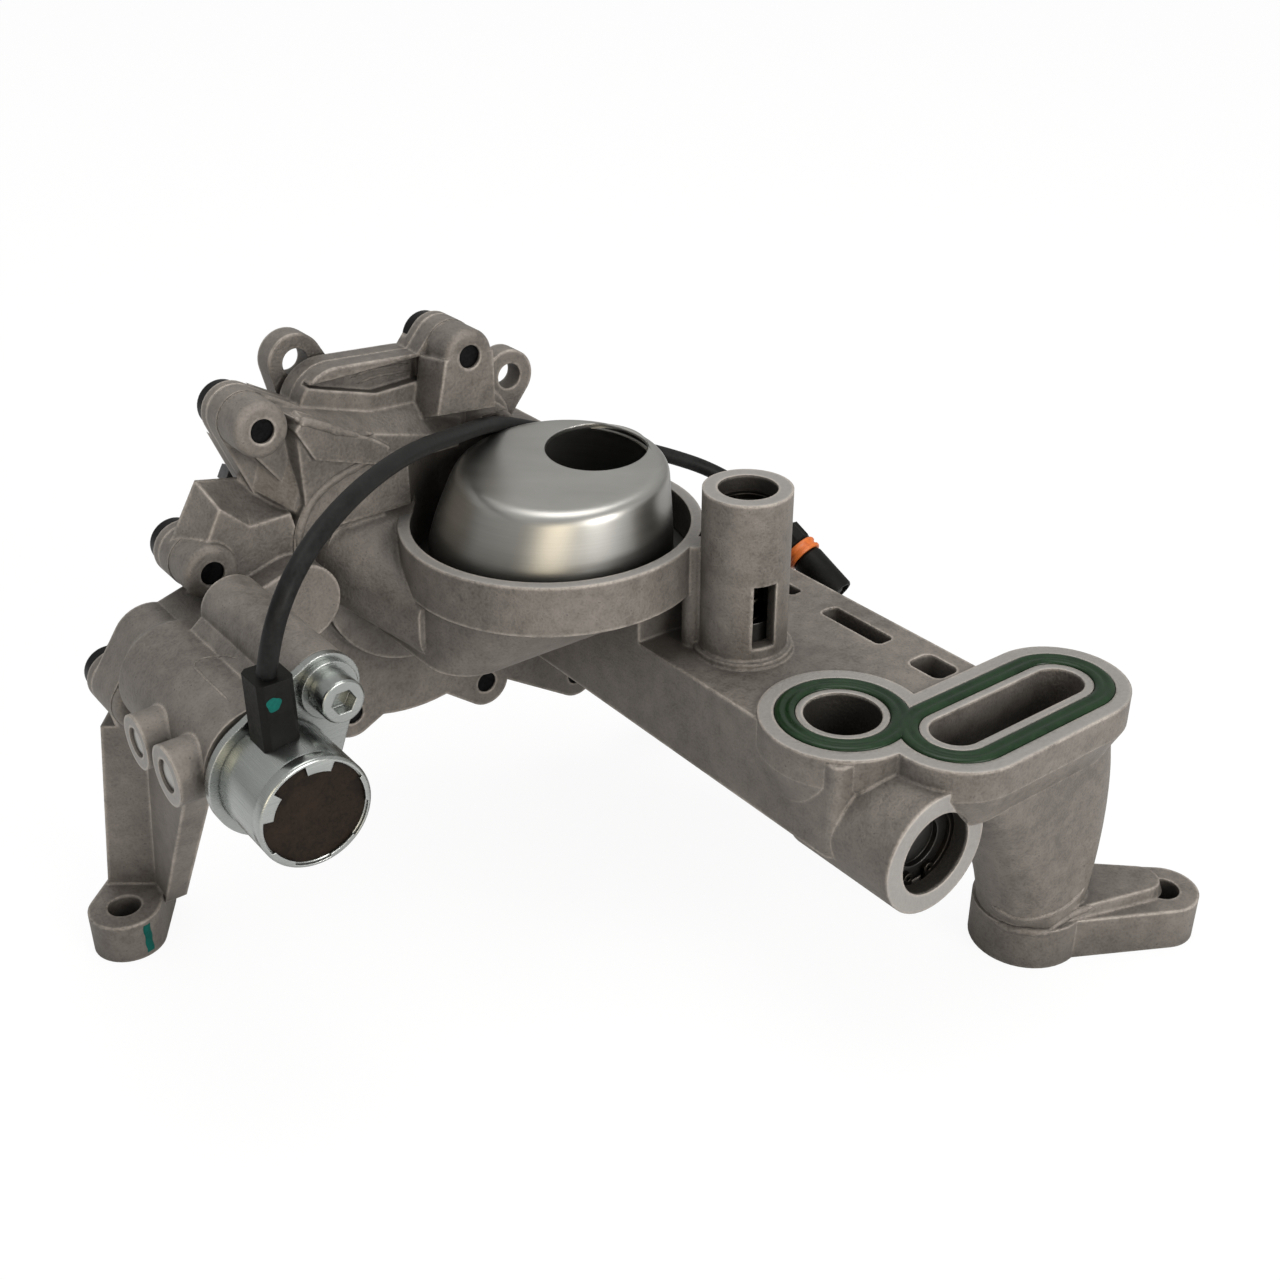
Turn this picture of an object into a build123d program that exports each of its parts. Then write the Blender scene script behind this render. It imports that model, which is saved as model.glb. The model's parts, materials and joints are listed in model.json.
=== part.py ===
from build123d import *
from math import atan2, cos, pi, radians, sin, tan
import os

# Engine oil pump: a variable-displacement vane pump with its pickup, arm, valves and control solenoid.
# It stands on its engine face, Z = 0. The origin is midway between the two outer engine bolts.
# X runs along the arm away from the pump, parallel to the pump shaft, and Y runs across it.
# All sizes are in millimetres.

# Engine face and its three bolts
OUTER_BOLT_X = 80.0
OUTER_BOLT_Y = 109.0
REAR_FOOT_Y = 88.0
ENGINE_BOLT_HOLE_R = 4.25
FOOT_HEIGHT = 11.0
FOOT_R = 9.2
LEG_TURN = 52.5
LEG_WIDTH = 16.7
LEG_THICK = 9.0
EAR_R = 9.2
BASE_FLANGE_HEIGHT = 12.0

# Pump axis, joint face between the housing and the rear cover, and the flange behind it
PUMP_Y = -21.0
PUMP_Z = 88.0
JOINT_X = -79.5
COVER_FLANGE = 5.0
HOUSING_PLATE = 5.5
FLANGE_R = 46.0
CHAMBER_DEPTH = 18.0
CASING_WALL = 4.0

# Cover bolts, as (Y, Z) places round the joint face
COVER_BOLTS = [
    (-5.5, 141.6), (-61.8, 135.8), (-78.4, 104.3), (-99.6, 76.0),
    (-42.0, 47.0), (0.0, 41.5), (31.0, 33.0), (36.5, 99.0),
]
BOLT_R = 3.0
BOLT_HOLE_R = 3.3
BOLT_HEAD_R = 6.0
BOLT_HEAD_HEIGHT = 4.5
COVER_LUG = 3.0
BOSS_R = 7.0
BOSS_FRONT_X = -64.5
BOSS_ROUND = 1.6
RIM_ARC = [(-37.0, 131.8), (-17.0, 130.5)]
RIM_ARC_R = 11.3
POCKET_DEPTH = 3.2
DOWELS = [(-53.0, 64.0), (8.5, 116.0)]
DOWEL_R = 3.0
DOWEL_LENGTH = 12.0

# Ears on the rear cover, as (Y, Z) places
EARS = [(-41.6, 141.8), (19.8, 124.6)]
COVER_EAR_R = 7.2
COVER_EAR_HOLE_R = 3.5
COVER_EAR_THICK = 6.0
EAR_BACK_X = -92.5

# Vane pump inside the rear cover
REST_OFFSET = 2.5
LEAST_OFFSET = 0.4
RING_BORE_R = 25.5
RING_WALL = 4.5
RING_OUTER_R = RING_BORE_R + RING_WALL
ROTOR_R = RING_BORE_R - REST_OFFSET - 1.0
END_CLEARANCE = 0.1
VANE_COUNT = 7
VANE_THICK = 2.0
SLOT_CLEARANCE = 0.04
TIP_CLEARANCE = 0.1
VANE_TRAVEL = 0.8
VANE_RING_R = 0.5 * ROTOR_R
VANE_RING_WALL = 1.6
VANE_RING_WIDTH = 2.2
PIVOT_ARM = 33.0
PIVOT_R = 2.5
PIVOT_LOBE_R = 5.2
RUNNING_FIT = 0.05
RING_ROOM = 0.6
TAB_LENGTH = 16.0
TAB_THICK = 6.5
CONTROL_SPRING_R = 5.0
CONTROL_SPRING_WIRE = 1.8
CONTROL_SPRING_LENGTH = 16.5
CONTROL_SPRING_TURNS = 5
WIRE_SIDES = 8

# Shaft, bushes and sprocket
SHAFT_R = 6.0
BUSH_WALL = 2.0
FRONT_BUSH = 4.2
REAR_HUB_R = 12.5
REAR_HUB = 10.0
SPROCKET_TEETH = 25
CHAIN_PITCH = 8.0
CHAIN_ROLLER_R = 2.5
SPROCKET_THICK = 4.6
SPROCKET_GAP = 2.5
SPROCKET_BOLT_R = 4.0
SPROCKET_BOLT_HEAD_R = 7.5
SPROCKET_BOLT_HEAD = 6.0

# Pickup bowl, its ring and the steel inlet cap
BOWL_X = -44.0
BOWL_Y = 3.3
RIM_Z = 103.0
RING_BAND = 13.0
BOWL_RIM_R = 35.4
BOWL_OUTER_R = BOWL_RIM_R + 3.0
BOWL_BORE_R = BOWL_RIM_R - 4.9
BOWL_BACK_X = -77.0
BOWL_LEDGE_Z = 90.0
BOWL_FLOOR_Z = 77.0
BOWL_BOTTOM_Z = 73.0
CAP_SHEET = 1.2
CAP_FLANGE_R = BOWL_RIM_R - 0.2
CAP_BASE_R = BOWL_RIM_R - 4.4
CAP_TOP_R = CAP_BASE_R - 4.5
CAP_TOP_Z = 118.0
CAP_SHIFT_X = 1.9
CAP_SHIFT_Y = 2.6
CAP_TILT = 3.0
INLET_SHIFT_Y = 11.9
INLET_R = 13.1
SCREEN_THICK = 0.6
SCREEN_RIM = 1.4

# Tunnel from the bowl to the pump inlet: X, then the section's Y and Z limits and corner radius
TUNNEL_ARCH_Y = -37.5
TUNNEL_ARCH_Z = 101.5
TUNNEL_ARCH_R = 17.0
TUNNEL_SECTIONS = [
    (-79.4, -54.5, 6.0, 82.0, 116.5, 16.5),
    (-72.0, -49.0, 4.0, 80.0, 107.0, 12.0),
    (-46.0, -35.2, 0.0, 73.0, 91.0, 6.0),
]

# Arm
ARM_TOP = 75.0
ARM_BOTTOM = 50.0
ARM_FRONT_Y = 12.0
ARM_BACK_Y = 71.0
ARM_END_X = 53.5
ARM_SLOTS = [(-19.5, 62.0, 10.0, 4.0), (7.9, 62.2, 21.8, 5.5), (34.6, 62.5, 10.8, 8.0)]
ARM_SLOT_DEPTH = 16.0
GALLERY_Y = 28.0
GALLERY_Z = 55.0
GALLERY_R = 6.0

# Ports and their gasket
PORT_FACE = 76.0
ROUND_PORT_X = 38.0
ROUND_PORT_Y = 28.4
ROUND_PORT_R = 9.3
ROUND_FLANGE_R = 20.0
SLOT_PORT_X = 59.2
SLOT_PORT_FRONT_Y = 37.7
SLOT_PORT_BACK_Y = 86.0
SLOT_PORT_HALF = 6.3
SLOT_FLANGE_HALF = 17.3
PORT_FLANGE_THICK = 8.0
PORT_FLANGE_TAPER = 10.0
SLOT_DEPTH = 14.0
GASKET_SLOT_HALF = 11.0
GASKET_ROUND_R = 13.6
GASKET_WIDTH = 4.8
GASKET_PROUD = 0.8
GROOVE_DEPTH = 1.6
GROOVE_CLEARANCE = 0.15

# Neck down to the engine face
NECK_BASE_X = 60.5
NECK_BASE_Y = 79.0
NECK_BASE_R = 14.5
NECK_BORE_R = 8.5
NECK_WAIST_Z = 34.0
NECK_LEAN = 15.3
NECK_STEP = (75.5, 104.5)
NECK_STEP_HEIGHT = 3.0

# Relief valve column
COLUMN_X = -2.0
COLUMN_Y = 32.0
COLUMN_R = 11.05
COLUMN_TOP = 118.5
VALVE_BORE_R = 7.3
VALVE_BORE_FLOOR = 69.0
VALVE_SEAT_R = 4.0
PISTON_LENGTH = 16.0
PLUG_THICK = 4.0
PLUG_DEPTH = 5.5
CIRCLIP_WIDTH = 1.2
CIRCLIP_GROOVE = 0.9
WINDOW_WIDTH = 6.0
WINDOW_BOTTOM = 80.0
WINDOW_TOP = 97.0
WINDOW_TURN = -14.0
RELIEF_SPRING_WIRE = 1.6
RELIEF_SPRING_TURNS = 8

# Check valve in the end boss
END_BOSS_X = 70.5
END_BOSS_R = 15.5
CHECK_BORE_R = 10.5
CHECK_BORE_DEPTH = 30.0
POPPET_LENGTH = 10.0
CHECK_SPRING_WIRE = 1.4
CHECK_SPRING_TURNS = 5

# Solenoid valve: barrel on the housing, cross bosses and the bolted solenoid
VALVE_Y = -92.7
VALVE_Z = 84.7
BARREL_R = 13.4
BARREL_FRONT_X = -13.8
BARREL_BACK_X = -60.0
SPOOL_BORE_R = 5.0
SPOOL_FLOOR_X = -56.0
CROSS_BOSSES = [(-37.0, 6.4), (-20.8, 7.0)]
CROSS_FACE_Y = -111.5
CROSS_BORE_SHARE = 0.55
CROSS_PLUG_DEPTH = 1.2
CROSS_PLUG_THICK = 3.0
CAN_R = 12.7
CAN_LENGTH = 24.0
CAN_SHEET = 1.2
CAN_GAP = 0.3
END_CAP_THICK = 3.0
BRACKET_BOLT_Y = -79.0
BRACKET_BOLT_Z = 100.7
BRACKET_BOSS_R = 7.6
BRACKET_BOSS_X = -54.0
BRACKET_PLATE_X = -10.0
BRACKET_THICK = 2.0
BRACKET_BOLT_HEAD_R = 5.0
BRACKET_BOLT_HEAD = 6.0
BRACKET_WASHER_R = 6.6
BRACKET_WASHER = 1.6
SPOOL_R = 4.9
SPOOL_STROKE = 2.5
COIL_R = 10.6
CORE_R = 5.6

# Lead block, cable and connector
BLOCK_SIZE = (9.0, 8.0, 16.0)
BLOCK_X = -2.6
BLOCK_Y = -94.0
BLOCK_Z = 104.0
CABLE_R = 2.1
CABLE_TROUGH = 3.0
CABLE_POINTS = [
    (-1.5, -94.5, 112.7), (1.6, -94.0, 122.0), (0.8, -89.2, 131.0), (-4.8, -80.3, 136.0),
    (-13.8, -67.8, 138.0), (-24.5, -53.5, 137.5), (-38.0, -36.5, 134.0), (-51.0, -19.5, 128.5),
    (-62.0, -5.5, 124.0), (-70.3, 6.0, 119.5), (-72.6, 20.0, 113.5), (-71.0, 36.0, 107.5),
    (-68.5, 49.0, 102.5), (-66.0, 60.5, 97.5), (-62.5, 70.5, 92.5), (-55.5, 77.8, 87.0),
    (-45.4, 79.4, 80.9),
]
CONNECTOR_R = 6.0


def x_cylinder(x0, x1, y, z, r):
    """A round bar along X from x0 to x1."""
    return Pos((x0 + x1) / 2, y, z) * Rot(0, 90, 0) * Cylinder(r, x1 - x0)


def y_cylinder(x, y0, y1, z, r):
    """A round bar along Y from y0 to y1."""
    return Pos(x, (y0 + y1) / 2, z) * Rot(90, 0, 0) * Cylinder(r, y1 - y0)


def z_cylinder(x, y, z0, z1, r):
    """An upright round bar from z0 to z1."""
    return Pos(x, y, (z0 + z1) / 2) * Cylinder(r, z1 - z0)


def block(x0, x1, y0, y1, z0, z1):
    """A box between two corners."""
    centre = Pos((x0 + x1) / 2, (y0 + y1) / 2, (z0 + z1) / 2)
    return centre * Box(x1 - x0, y1 - y0, z1 - z0)


def along_x(sketch, x0, x1):
    """A sketch of Y and Z, extruded along X."""
    return extrude(Plane.YZ.offset(x0) * sketch, amount=x1 - x0, dir=(1, 0, 0))


def along_z(sketch, z0, z1):
    """A sketch of X and Y, extruded upwards."""
    return extrude(Pos(0, 0, z0) * sketch, amount=z1 - z0, dir=(0, 0, 1))


def link(first, first_r, second, second_r):
    """The outline of a belt laid round two circles."""
    circles = Pos(*first) * Circle(first_r) + Pos(*second) * Circle(second_r)
    return make_hull(circles.edges())


def coil_spring(mean_r, wire, length, turns):
    """A compression spring standing on Z = 0, its ends ground flat."""
    pitch = (length - wire) / turns
    path = Pos(0, 0, wire / 2) * Helix(pitch, length - wire, mean_r)
    section = Plane(path @ 0, z_dir=path % 0) * RegularPolygon(wire / 2, WIRE_SIDES)
    coil = sweep(section, path=path)
    grip = block(-2 * mean_r, 2 * mean_r, -2 * mean_r, 2 * mean_r, 0, length)
    return coil & grip


def ring(outer_r, inner_r, height):
    """A flat ring standing on Z = 0."""
    return Pos(0, 0, height / 2) * (Cylinder(outer_r, height) - Cylinder(inner_r, height))


# Pump joint face


def toward_pump(place, distance):
    """The point at this distance from the pump axis, on the line to the given place."""
    angle = atan2(place[1] - PUMP_Z, place[0] - PUMP_Y)
    return PUMP_Y + distance * cos(angle), PUMP_Z + distance * sin(angle)


def joint_outline():
    """The outline shared by the housing and the rear cover: a disc with a lobe at each bolt."""
    outline = Pos(PUMP_Y, PUMP_Z) * Circle(FLANGE_R)
    for place in COVER_BOLTS:
        outline += link(place, BOSS_R, toward_pump(place, 0.55 * FLANGE_R), 0.42 * FLANGE_R)
    outline += link((GALLERY_Y, GALLERY_Z), GALLERY_R + 5.0, (PUMP_Y, PUMP_Z), 0.5 * FLANGE_R)
    outline += link(RIM_ARC[0], RIM_ARC_R, RIM_ARC[1], RIM_ARC_R)
    return outline


def ring_centre(offset):
    """The control ring's centre at a given offset from the pump axis, as (Y, Z)."""
    return PUMP_Y, PUMP_Z - offset


CHAMBER_BACK_X = JOINT_X - CHAMBER_DEPTH
PIVOT_Y = PUMP_Y - PIVOT_ARM
PIVOT_Z = PUMP_Z - REST_OFFSET
TAB_END_Y = PUMP_Y + RING_OUTER_R + TAB_LENGTH
TAB_TOP = PIVOT_Z + TAB_THICK / 2
SPRING_Y = TAB_END_Y - CONTROL_SPRING_R - 2.5
CHAMBER_MID_X = JOINT_X - CHAMBER_DEPTH / 2
POCKET_R = RING_OUTER_R + (REST_OFFSET - LEAST_OFFSET) / 2 + RING_ROOM


def chamber_outline(wall):
    """The pocket that the control ring swings in, grown by a wall."""
    middle = (REST_OFFSET + LEAST_OFFSET) / 2
    outline = Pos(PUMP_Y, PUMP_Z - middle) * Circle(POCKET_R + wall)
    outline += link((PIVOT_Y, PIVOT_Z), PIVOT_LOBE_R + RING_ROOM + wall,
                    (PUMP_Y - RING_OUTER_R / 2, PIVOT_Z), PIVOT_LOBE_R + 2 * RING_ROOM + wall)
    low = PIVOT_Z - TAB_THICK / 2 - RING_ROOM - wall
    high = TAB_TOP + CONTROL_SPRING_LENGTH + wall
    left = PUMP_Y + RING_OUTER_R / 2
    right = TAB_END_Y + RING_ROOM + wall
    spring_room = Pos((left + right) / 2, (low + high) / 2) * Rectangle(right - left, high - low)
    return outline + spring_room


# Housing


def pump_front():
    """The front of the pump: the joint plate, its bolt bosses and their webs."""
    plate_front = JOINT_X + HOUSING_PLATE
    body = along_x(joint_outline(), JOINT_X, plate_front)
    for place in COVER_BOLTS[:4]:
        boss = x_cylinder(JOINT_X + 1, BOSS_FRONT_X, *place, BOSS_R - 0.2)
        body += fillet(boss.edges().sort_by(Axis.X)[-1], BOSS_ROUND)
        inner = toward_pump(place, 0.8 * FLANGE_R)
        body += along_x(link(place, 0.7 * BOSS_R, inner, BOSS_R), JOINT_X, plate_front + 3.0)
    dome = Pos(PUMP_Y, PUMP_Z) * Circle(0.6 * FLANGE_R)
    body += along_x(dome, JOINT_X, plate_front + 4.0)
    return body


def slab(back, front, back_height, front_height):
    """A solid between two outlines of Y and Z, at two heights over the joint face."""
    at_back = Plane.YZ.offset(JOINT_X + back_height) * Polygon(*back, align=None)
    at_front = Plane.YZ.offset(JOINT_X + front_height) * Polygon(*front, align=None)
    return loft([at_back, at_front], ruled=True)


def front_relief():
    """The shelves, ribs and pillar cast between the upper bolt bosses."""
    shelf = slab([(-57, 138.5), (-28, 131), (-13, 131.5), (0, 127), (0, 108), (-52, 108)],
                 [(-52.5, 136), (-32.5, 127), (-19, 123.5), (-9, 121), (-9, 106), (-52, 106)], 3.0, 12.5)
    step = slab([(-54, 134), (-50.8, 136.6), (-32.4, 126.6), (-28.5, 124), (-30, 118), (-50, 124)],
                [(-53.4, 133.4), (-50.8, 135.6), (-32.4, 126), (-29, 123.4), (-30.6, 119), (-49, 125)],
                9.0, 14.0)
    corner = slab([(-61, 132), (-65, 120.5), (-56, 106), (-28, 106), (-28, 124)],
                  [(-48.5, 127), (-54.5, 112), (-50, 104), (-30, 104), (-30, 120.5)], 3.5, 10.5)
    ledge = slab([(-75, 123), (-63.5, 120.8), (-54, 112), (-50, 98), (-62, 88), (-80, 92), (-84, 108)],
                 [(-73.4, 118.4), (-66.6, 111.8), (-56, 112.4), (-53, 98), (-62, 92), (-76, 96), (-79, 108)],
                 3.0, 12.0)
    pillar = slab([(-15, 141), (4, 141), (4, 122), (-18, 124)],
                  [(-12.3, 142), (1.3, 142), (1.3, 127), (-15.5, 128.5)], 2.0, BOSS_FRONT_X - JOINT_X)
    return shelf + step + corner + ledge + pillar


def front_pocket():
    """The sunk field between the rim and the upper rib, and the grooves at its end."""
    outline = Polygon((-50, 141.2), (-44, 140.2), (-13.5, 141), (-13.5, 134.8), (-27, 134.2), (-40, 138),
                      align=None)
    x1 = JOINT_X + HOUSING_PLATE
    return along_x(outline, x1 - POCKET_DEPTH, x1)


def bowl_body():
    """The pickup bowl: the band below the rim, and the flat-bottomed hull under it."""
    band_bottom = RIM_Z - RING_BAND
    band = z_cylinder(BOWL_X, BOWL_Y, band_bottom, RIM_Z, BOWL_OUTER_R)
    top = Pos(BOWL_X, BOWL_Y, band_bottom) * Circle(BOWL_OUTER_R - 1.5)
    bottom = Pos(BOWL_X - 12, BOWL_Y - 11, BOWL_BOTTOM_Z) * RectangleRounded(48, 54, 12)
    return band + loft([bottom, top])


def suction_tunnel():
    """The arched hull that carries oil from the bowl back to the pump inlet."""
    sections = []
    for x, left, right, low, high, corner in TUNNEL_SECTIONS:
        outline = RectangleRounded(right - left, high - low, corner)
        sections.append(Plane.YZ.offset(x) * Pos((left + right) / 2, (low + high) / 2) * outline)
    lip = Pos(TUNNEL_ARCH_Y, TUNNEL_ARCH_Z) * (Circle(TUNNEL_ARCH_R + 2) - Circle(TUNNEL_ARCH_R - 3))
    lip &= Pos(TUNNEL_ARCH_Y - 20, TUNNEL_ARCH_Z + 12) * Rectangle(40, 40)
    return loft(sections) + along_x(lip, JOINT_X, JOINT_X + HOUSING_PLATE + 7)


def arm_body():
    """The arm from the pump to the ports, with the wall that carries the bowl."""
    plan = Polygon((JOINT_X, ARM_FRONT_Y), (ARM_END_X, ARM_FRONT_Y), (ARM_END_X + 8, ARM_BACK_Y),
                   (-30, ARM_BACK_Y), (JOINT_X, 44), align=None)
    arm = along_z(plan, ARM_BOTTOM, ARM_TOP)
    upright = [edge for edge in arm.edges().filter_by(Axis.Z) if edge.center().X > -40]
    arm = fillet(upright, 3.0)
    riser = block(-66, -19, ARM_FRONT_Y, ARM_FRONT_Y + 26, ARM_BOTTOM + 4, RIM_Z - RING_BAND + 1)
    return arm + riser


def column_body():
    """The relief valve column and the web that ties it to the bowl."""
    column = z_cylinder(COLUMN_X, COLUMN_Y, ARM_BOTTOM + 2, COLUMN_TOP, COLUMN_R)
    foot = Pos(COLUMN_X, COLUMN_Y, ARM_TOP) * Cylinder(COLUMN_R + 1.5, 3.0)
    web = along_z(link((COLUMN_X - 6, COLUMN_Y - 2), 3.0, (BOWL_X + 33, BOWL_Y + 20), 3.0),
                  ARM_TOP - 2, RIM_Z)
    tab = Polygon((-24, 30), (-8, 29), (-9, 36), (-14, 38.5), align=None)
    return column + foot + web + along_z(tab, RIM_Z - RING_BAND, RIM_Z)


def slot_link(r):
    """The slot port's centre line grown by a radius."""
    front = (SLOT_PORT_X, SLOT_PORT_FRONT_Y + SLOT_PORT_HALF)
    return link(front, r, (SLOT_PORT_X, SLOT_PORT_BACK_Y - SLOT_PORT_HALF), r)


def port_flange():
    """The figure-eight face round the two ports, its underside drawn in to the arm and the neck."""
    rim_bottom = PORT_FACE - PORT_FLANGE_THICK
    foot = rim_bottom - PORT_FLANGE_TAPER
    outline = Pos(ROUND_PORT_X, ROUND_PORT_Y) * Circle(ROUND_FLANGE_R) + slot_link(SLOT_FLANGE_HALF)
    body = along_z(outline, rim_bottom, PORT_FACE)
    at_round = Pos(ROUND_PORT_X, ROUND_PORT_Y)
    body += loft([Pos(0, 0, foot) * at_round * Circle(0.8 * ROUND_FLANGE_R),
                  Pos(0, 0, rim_bottom) * at_round * Circle(ROUND_FLANGE_R)])
    body += loft([Pos(0, 0, foot) * slot_link(0.72 * SLOT_FLANGE_HALF),
                  Pos(0, 0, rim_bottom) * slot_link(SLOT_FLANGE_HALF)])
    below = at_round * Circle(0.8 * ROUND_FLANGE_R)
    return body + along_z(below, ARM_BOTTOM + 2, foot)


def neck_and_base():
    """The neck under the slot port, and the flange it stands on with its bolt ear."""
    span = SLOT_PORT_BACK_Y - SLOT_PORT_FRONT_Y
    middle = (SLOT_PORT_BACK_Y + SLOT_PORT_FRONT_Y) / 2
    top = Pos(SLOT_PORT_X, middle + 1.5, PORT_FACE - 12) * RectangleRounded(25.4, span + 13, 12.2)
    waist = Pos(SLOT_PORT_X + 1, middle + NECK_LEAN, NECK_WAIST_Z) * RectangleRounded(25, span - 9.5, 12)
    bottom = Pos(NECK_BASE_X, NECK_BASE_Y, BASE_FLANGE_HEIGHT - 1) * RectangleRounded(26, 27.4, 12.9)
    neck = loft([bottom, waist, top])
    outline = Pos(NECK_BASE_X, NECK_BASE_Y) * Circle(NECK_BASE_R)
    outline += link((OUTER_BOLT_X, OUTER_BOLT_Y), EAR_R, (NECK_BASE_X + 4, NECK_BASE_Y + 8), 12.0)
    step = loft([Pos(0, 0, BASE_FLANGE_HEIGHT) * link((NECK_BASE_X, NECK_BASE_Y), 12.6, NECK_STEP, 6.0),
                 Pos(0, 0, BASE_FLANGE_HEIGHT + NECK_STEP_HEIGHT)
                 * link((NECK_BASE_X, NECK_BASE_Y), 11.6, NECK_STEP, 5.0)])
    return neck + along_z(outline, 0, BASE_FLANGE_HEIGHT) + step


def end_boss():
    """The boss at the end of the oil gallery, swelling out of the arm."""
    boss = x_cylinder(ROUND_PORT_X, END_BOSS_X, GALLERY_Y, GALLERY_Z, END_BOSS_R)
    cone = Pos(ROUND_PORT_X - 4, GALLERY_Y, GALLERY_Z) * Rot(0, 90, 0) * Cone(5, END_BOSS_R, 24)
    return boss + cone


def valve_barrel():
    """The solenoid valve's barrel, its cross bosses and the boss for the bracket bolt."""
    body = x_cylinder(BARREL_BACK_X, BARREL_FRONT_X, VALVE_Y, VALVE_Z, BARREL_R)
    wide = Plane.YZ.offset(BARREL_BACK_X) * Pos(VALVE_Y, VALVE_Z) * Circle(BARREL_R)
    narrow = Plane.YZ.offset(JOINT_X) * Pos(VALVE_Y + 4, VALVE_Z - 3) * Circle(0.5 * BARREL_R)
    body += loft([narrow, wide])
    for x, r in CROSS_BOSSES:
        body += y_cylinder(x, CROSS_FACE_Y, VALVE_Y, VALVE_Z, r)
    body += x_cylinder(BRACKET_BOSS_X, BRACKET_PLATE_X, BRACKET_BOLT_Y, BRACKET_BOLT_Z, BRACKET_BOSS_R)
    web = link((VALVE_Y, VALVE_Z), 0.6 * BARREL_R, (BRACKET_BOLT_Y, BRACKET_BOLT_Z), 0.6 * BRACKET_BOSS_R)
    body += along_x(web, BRACKET_BOSS_X, BARREL_FRONT_X)
    to_plate = link((VALVE_Y + 4, VALVE_Z), 0.6 * BARREL_R, toward_pump((-60, 92), FLANGE_R - 8), 10)
    body += along_x(to_plate, JOINT_X, BARREL_BACK_X)
    root = link((VALVE_Y + 2, VALVE_Z), 0.7 * BARREL_R, COVER_BOLTS[3], BOSS_R)
    body += along_x(root, JOINT_X, JOINT_X + 12)
    return body


def front_leg():
    """The strut from the valve barrel down to the front foot, leaning in as it rises."""
    bolt = (-OUTER_BOLT_X, -OUTER_BOLT_Y)
    heel = (bolt[0] - 11.5, bolt[1] + 9.5)
    foot = along_z(link(bolt, FOOT_R, heel, 0.8 * FOOT_R), 0, FOOT_HEIGHT)
    strut = Rot(0, 0, LEG_TURN) * Rectangle(LEG_WIDTH, LEG_THICK)
    low = Pos(heel[0] + 1, heel[1] - 0.2, FOOT_HEIGHT - 3) * strut
    high = Pos(-77.5, -95.5, VALVE_Z - 6) * strut
    gusset_low = Pos(heel[0] + 9, heel[1] + 3.5, FOOT_HEIGHT - 3) * Rectangle(8, 6)
    gusset_high = Pos(-59, VALVE_Y, VALVE_Z - 6) * Rectangle(36, 8)
    return foot + loft([low, high]) + loft([gusset_low, gusset_high])


def rear_leg():
    """The strut behind the arm, down to the third foot."""
    foot = along_z(Pos(-OUTER_BOLT_X, REAR_FOOT_Y) * Circle(FOOT_R), 0, FOOT_HEIGHT)
    low = Pos(-OUTER_BOLT_X + 2, REAR_FOOT_Y - 12, FOOT_HEIGHT - 4) * RectangleRounded(12, 16, 4)
    high = Pos(JOINT_X + 7, 32, ARM_BOTTOM + 6) * RectangleRounded(13, 26, 4)
    pad = along_z(link((-OUTER_BOLT_X, REAR_FOOT_Y), FOOT_R, (-OUTER_BOLT_X + 2, REAR_FOOT_Y - 14), 7),
                  0, FOOT_HEIGHT)
    return foot + pad + loft([low, high])


def rim_disc(z0, z1, r):
    """A disc in the bowl's rim, flattened where the bowl meets the joint face."""
    disc = z_cylinder(BOWL_X, BOWL_Y, z0, z1, r)
    back = BOWL_BACK_X - r + BOWL_RIM_R
    return disc & block(back, BOWL_X + r, BOWL_Y - r, BOWL_Y + r, z0, z1)


def bowl_hollow():
    """The room inside the bowl, and its way through the tunnel to the inlet port."""
    hollow = rim_disc(BOWL_LEDGE_Z, CAP_TOP_Z, BOWL_RIM_R)
    low = Pos(BOWL_X - 10, BOWL_Y - 8, BOWL_FLOOR_Z) * Circle(19)
    high = Pos(BOWL_X, BOWL_Y, BOWL_LEDGE_Z) * Circle(BOWL_BORE_R)
    hollow += loft([low, high])
    at_pump = Plane.YZ.offset(JOINT_X) * Pos(-43, 96) * RectangleRounded(14, 22, 6)
    at_bowl = Plane.YZ.offset(BOWL_X - 14) * Pos(-18, 83) * RectangleRounded(16, 11, 5)
    return hollow + loft([at_pump, at_bowl])


def oil_ways():
    """The pressure pocket, the gallery along the arm and the bores of its two valves."""
    pocket = link((PUMP_Y + 20, PUMP_Z - 14), 5.0, (GALLERY_Y - 1, GALLERY_Z), GALLERY_R)
    ways = along_x(pocket, JOINT_X, JOINT_X + 4)
    ways += x_cylinder(JOINT_X, END_BOSS_X, GALLERY_Y, GALLERY_Z, GALLERY_R)
    ways += x_cylinder(END_BOSS_X - CHECK_BORE_DEPTH, END_BOSS_X, GALLERY_Y, GALLERY_Z, CHECK_BORE_R)
    ways += z_cylinder(ROUND_PORT_X, ROUND_PORT_Y, GALLERY_Z, PORT_FACE, ROUND_PORT_R)
    ways += z_cylinder(COLUMN_X, COLUMN_Y, VALVE_BORE_FLOOR, COLUMN_TOP, VALVE_BORE_R)
    ways += z_cylinder(COLUMN_X, COLUMN_Y, GALLERY_Z, VALVE_BORE_FLOOR, VALVE_SEAT_R)
    return ways


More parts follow.
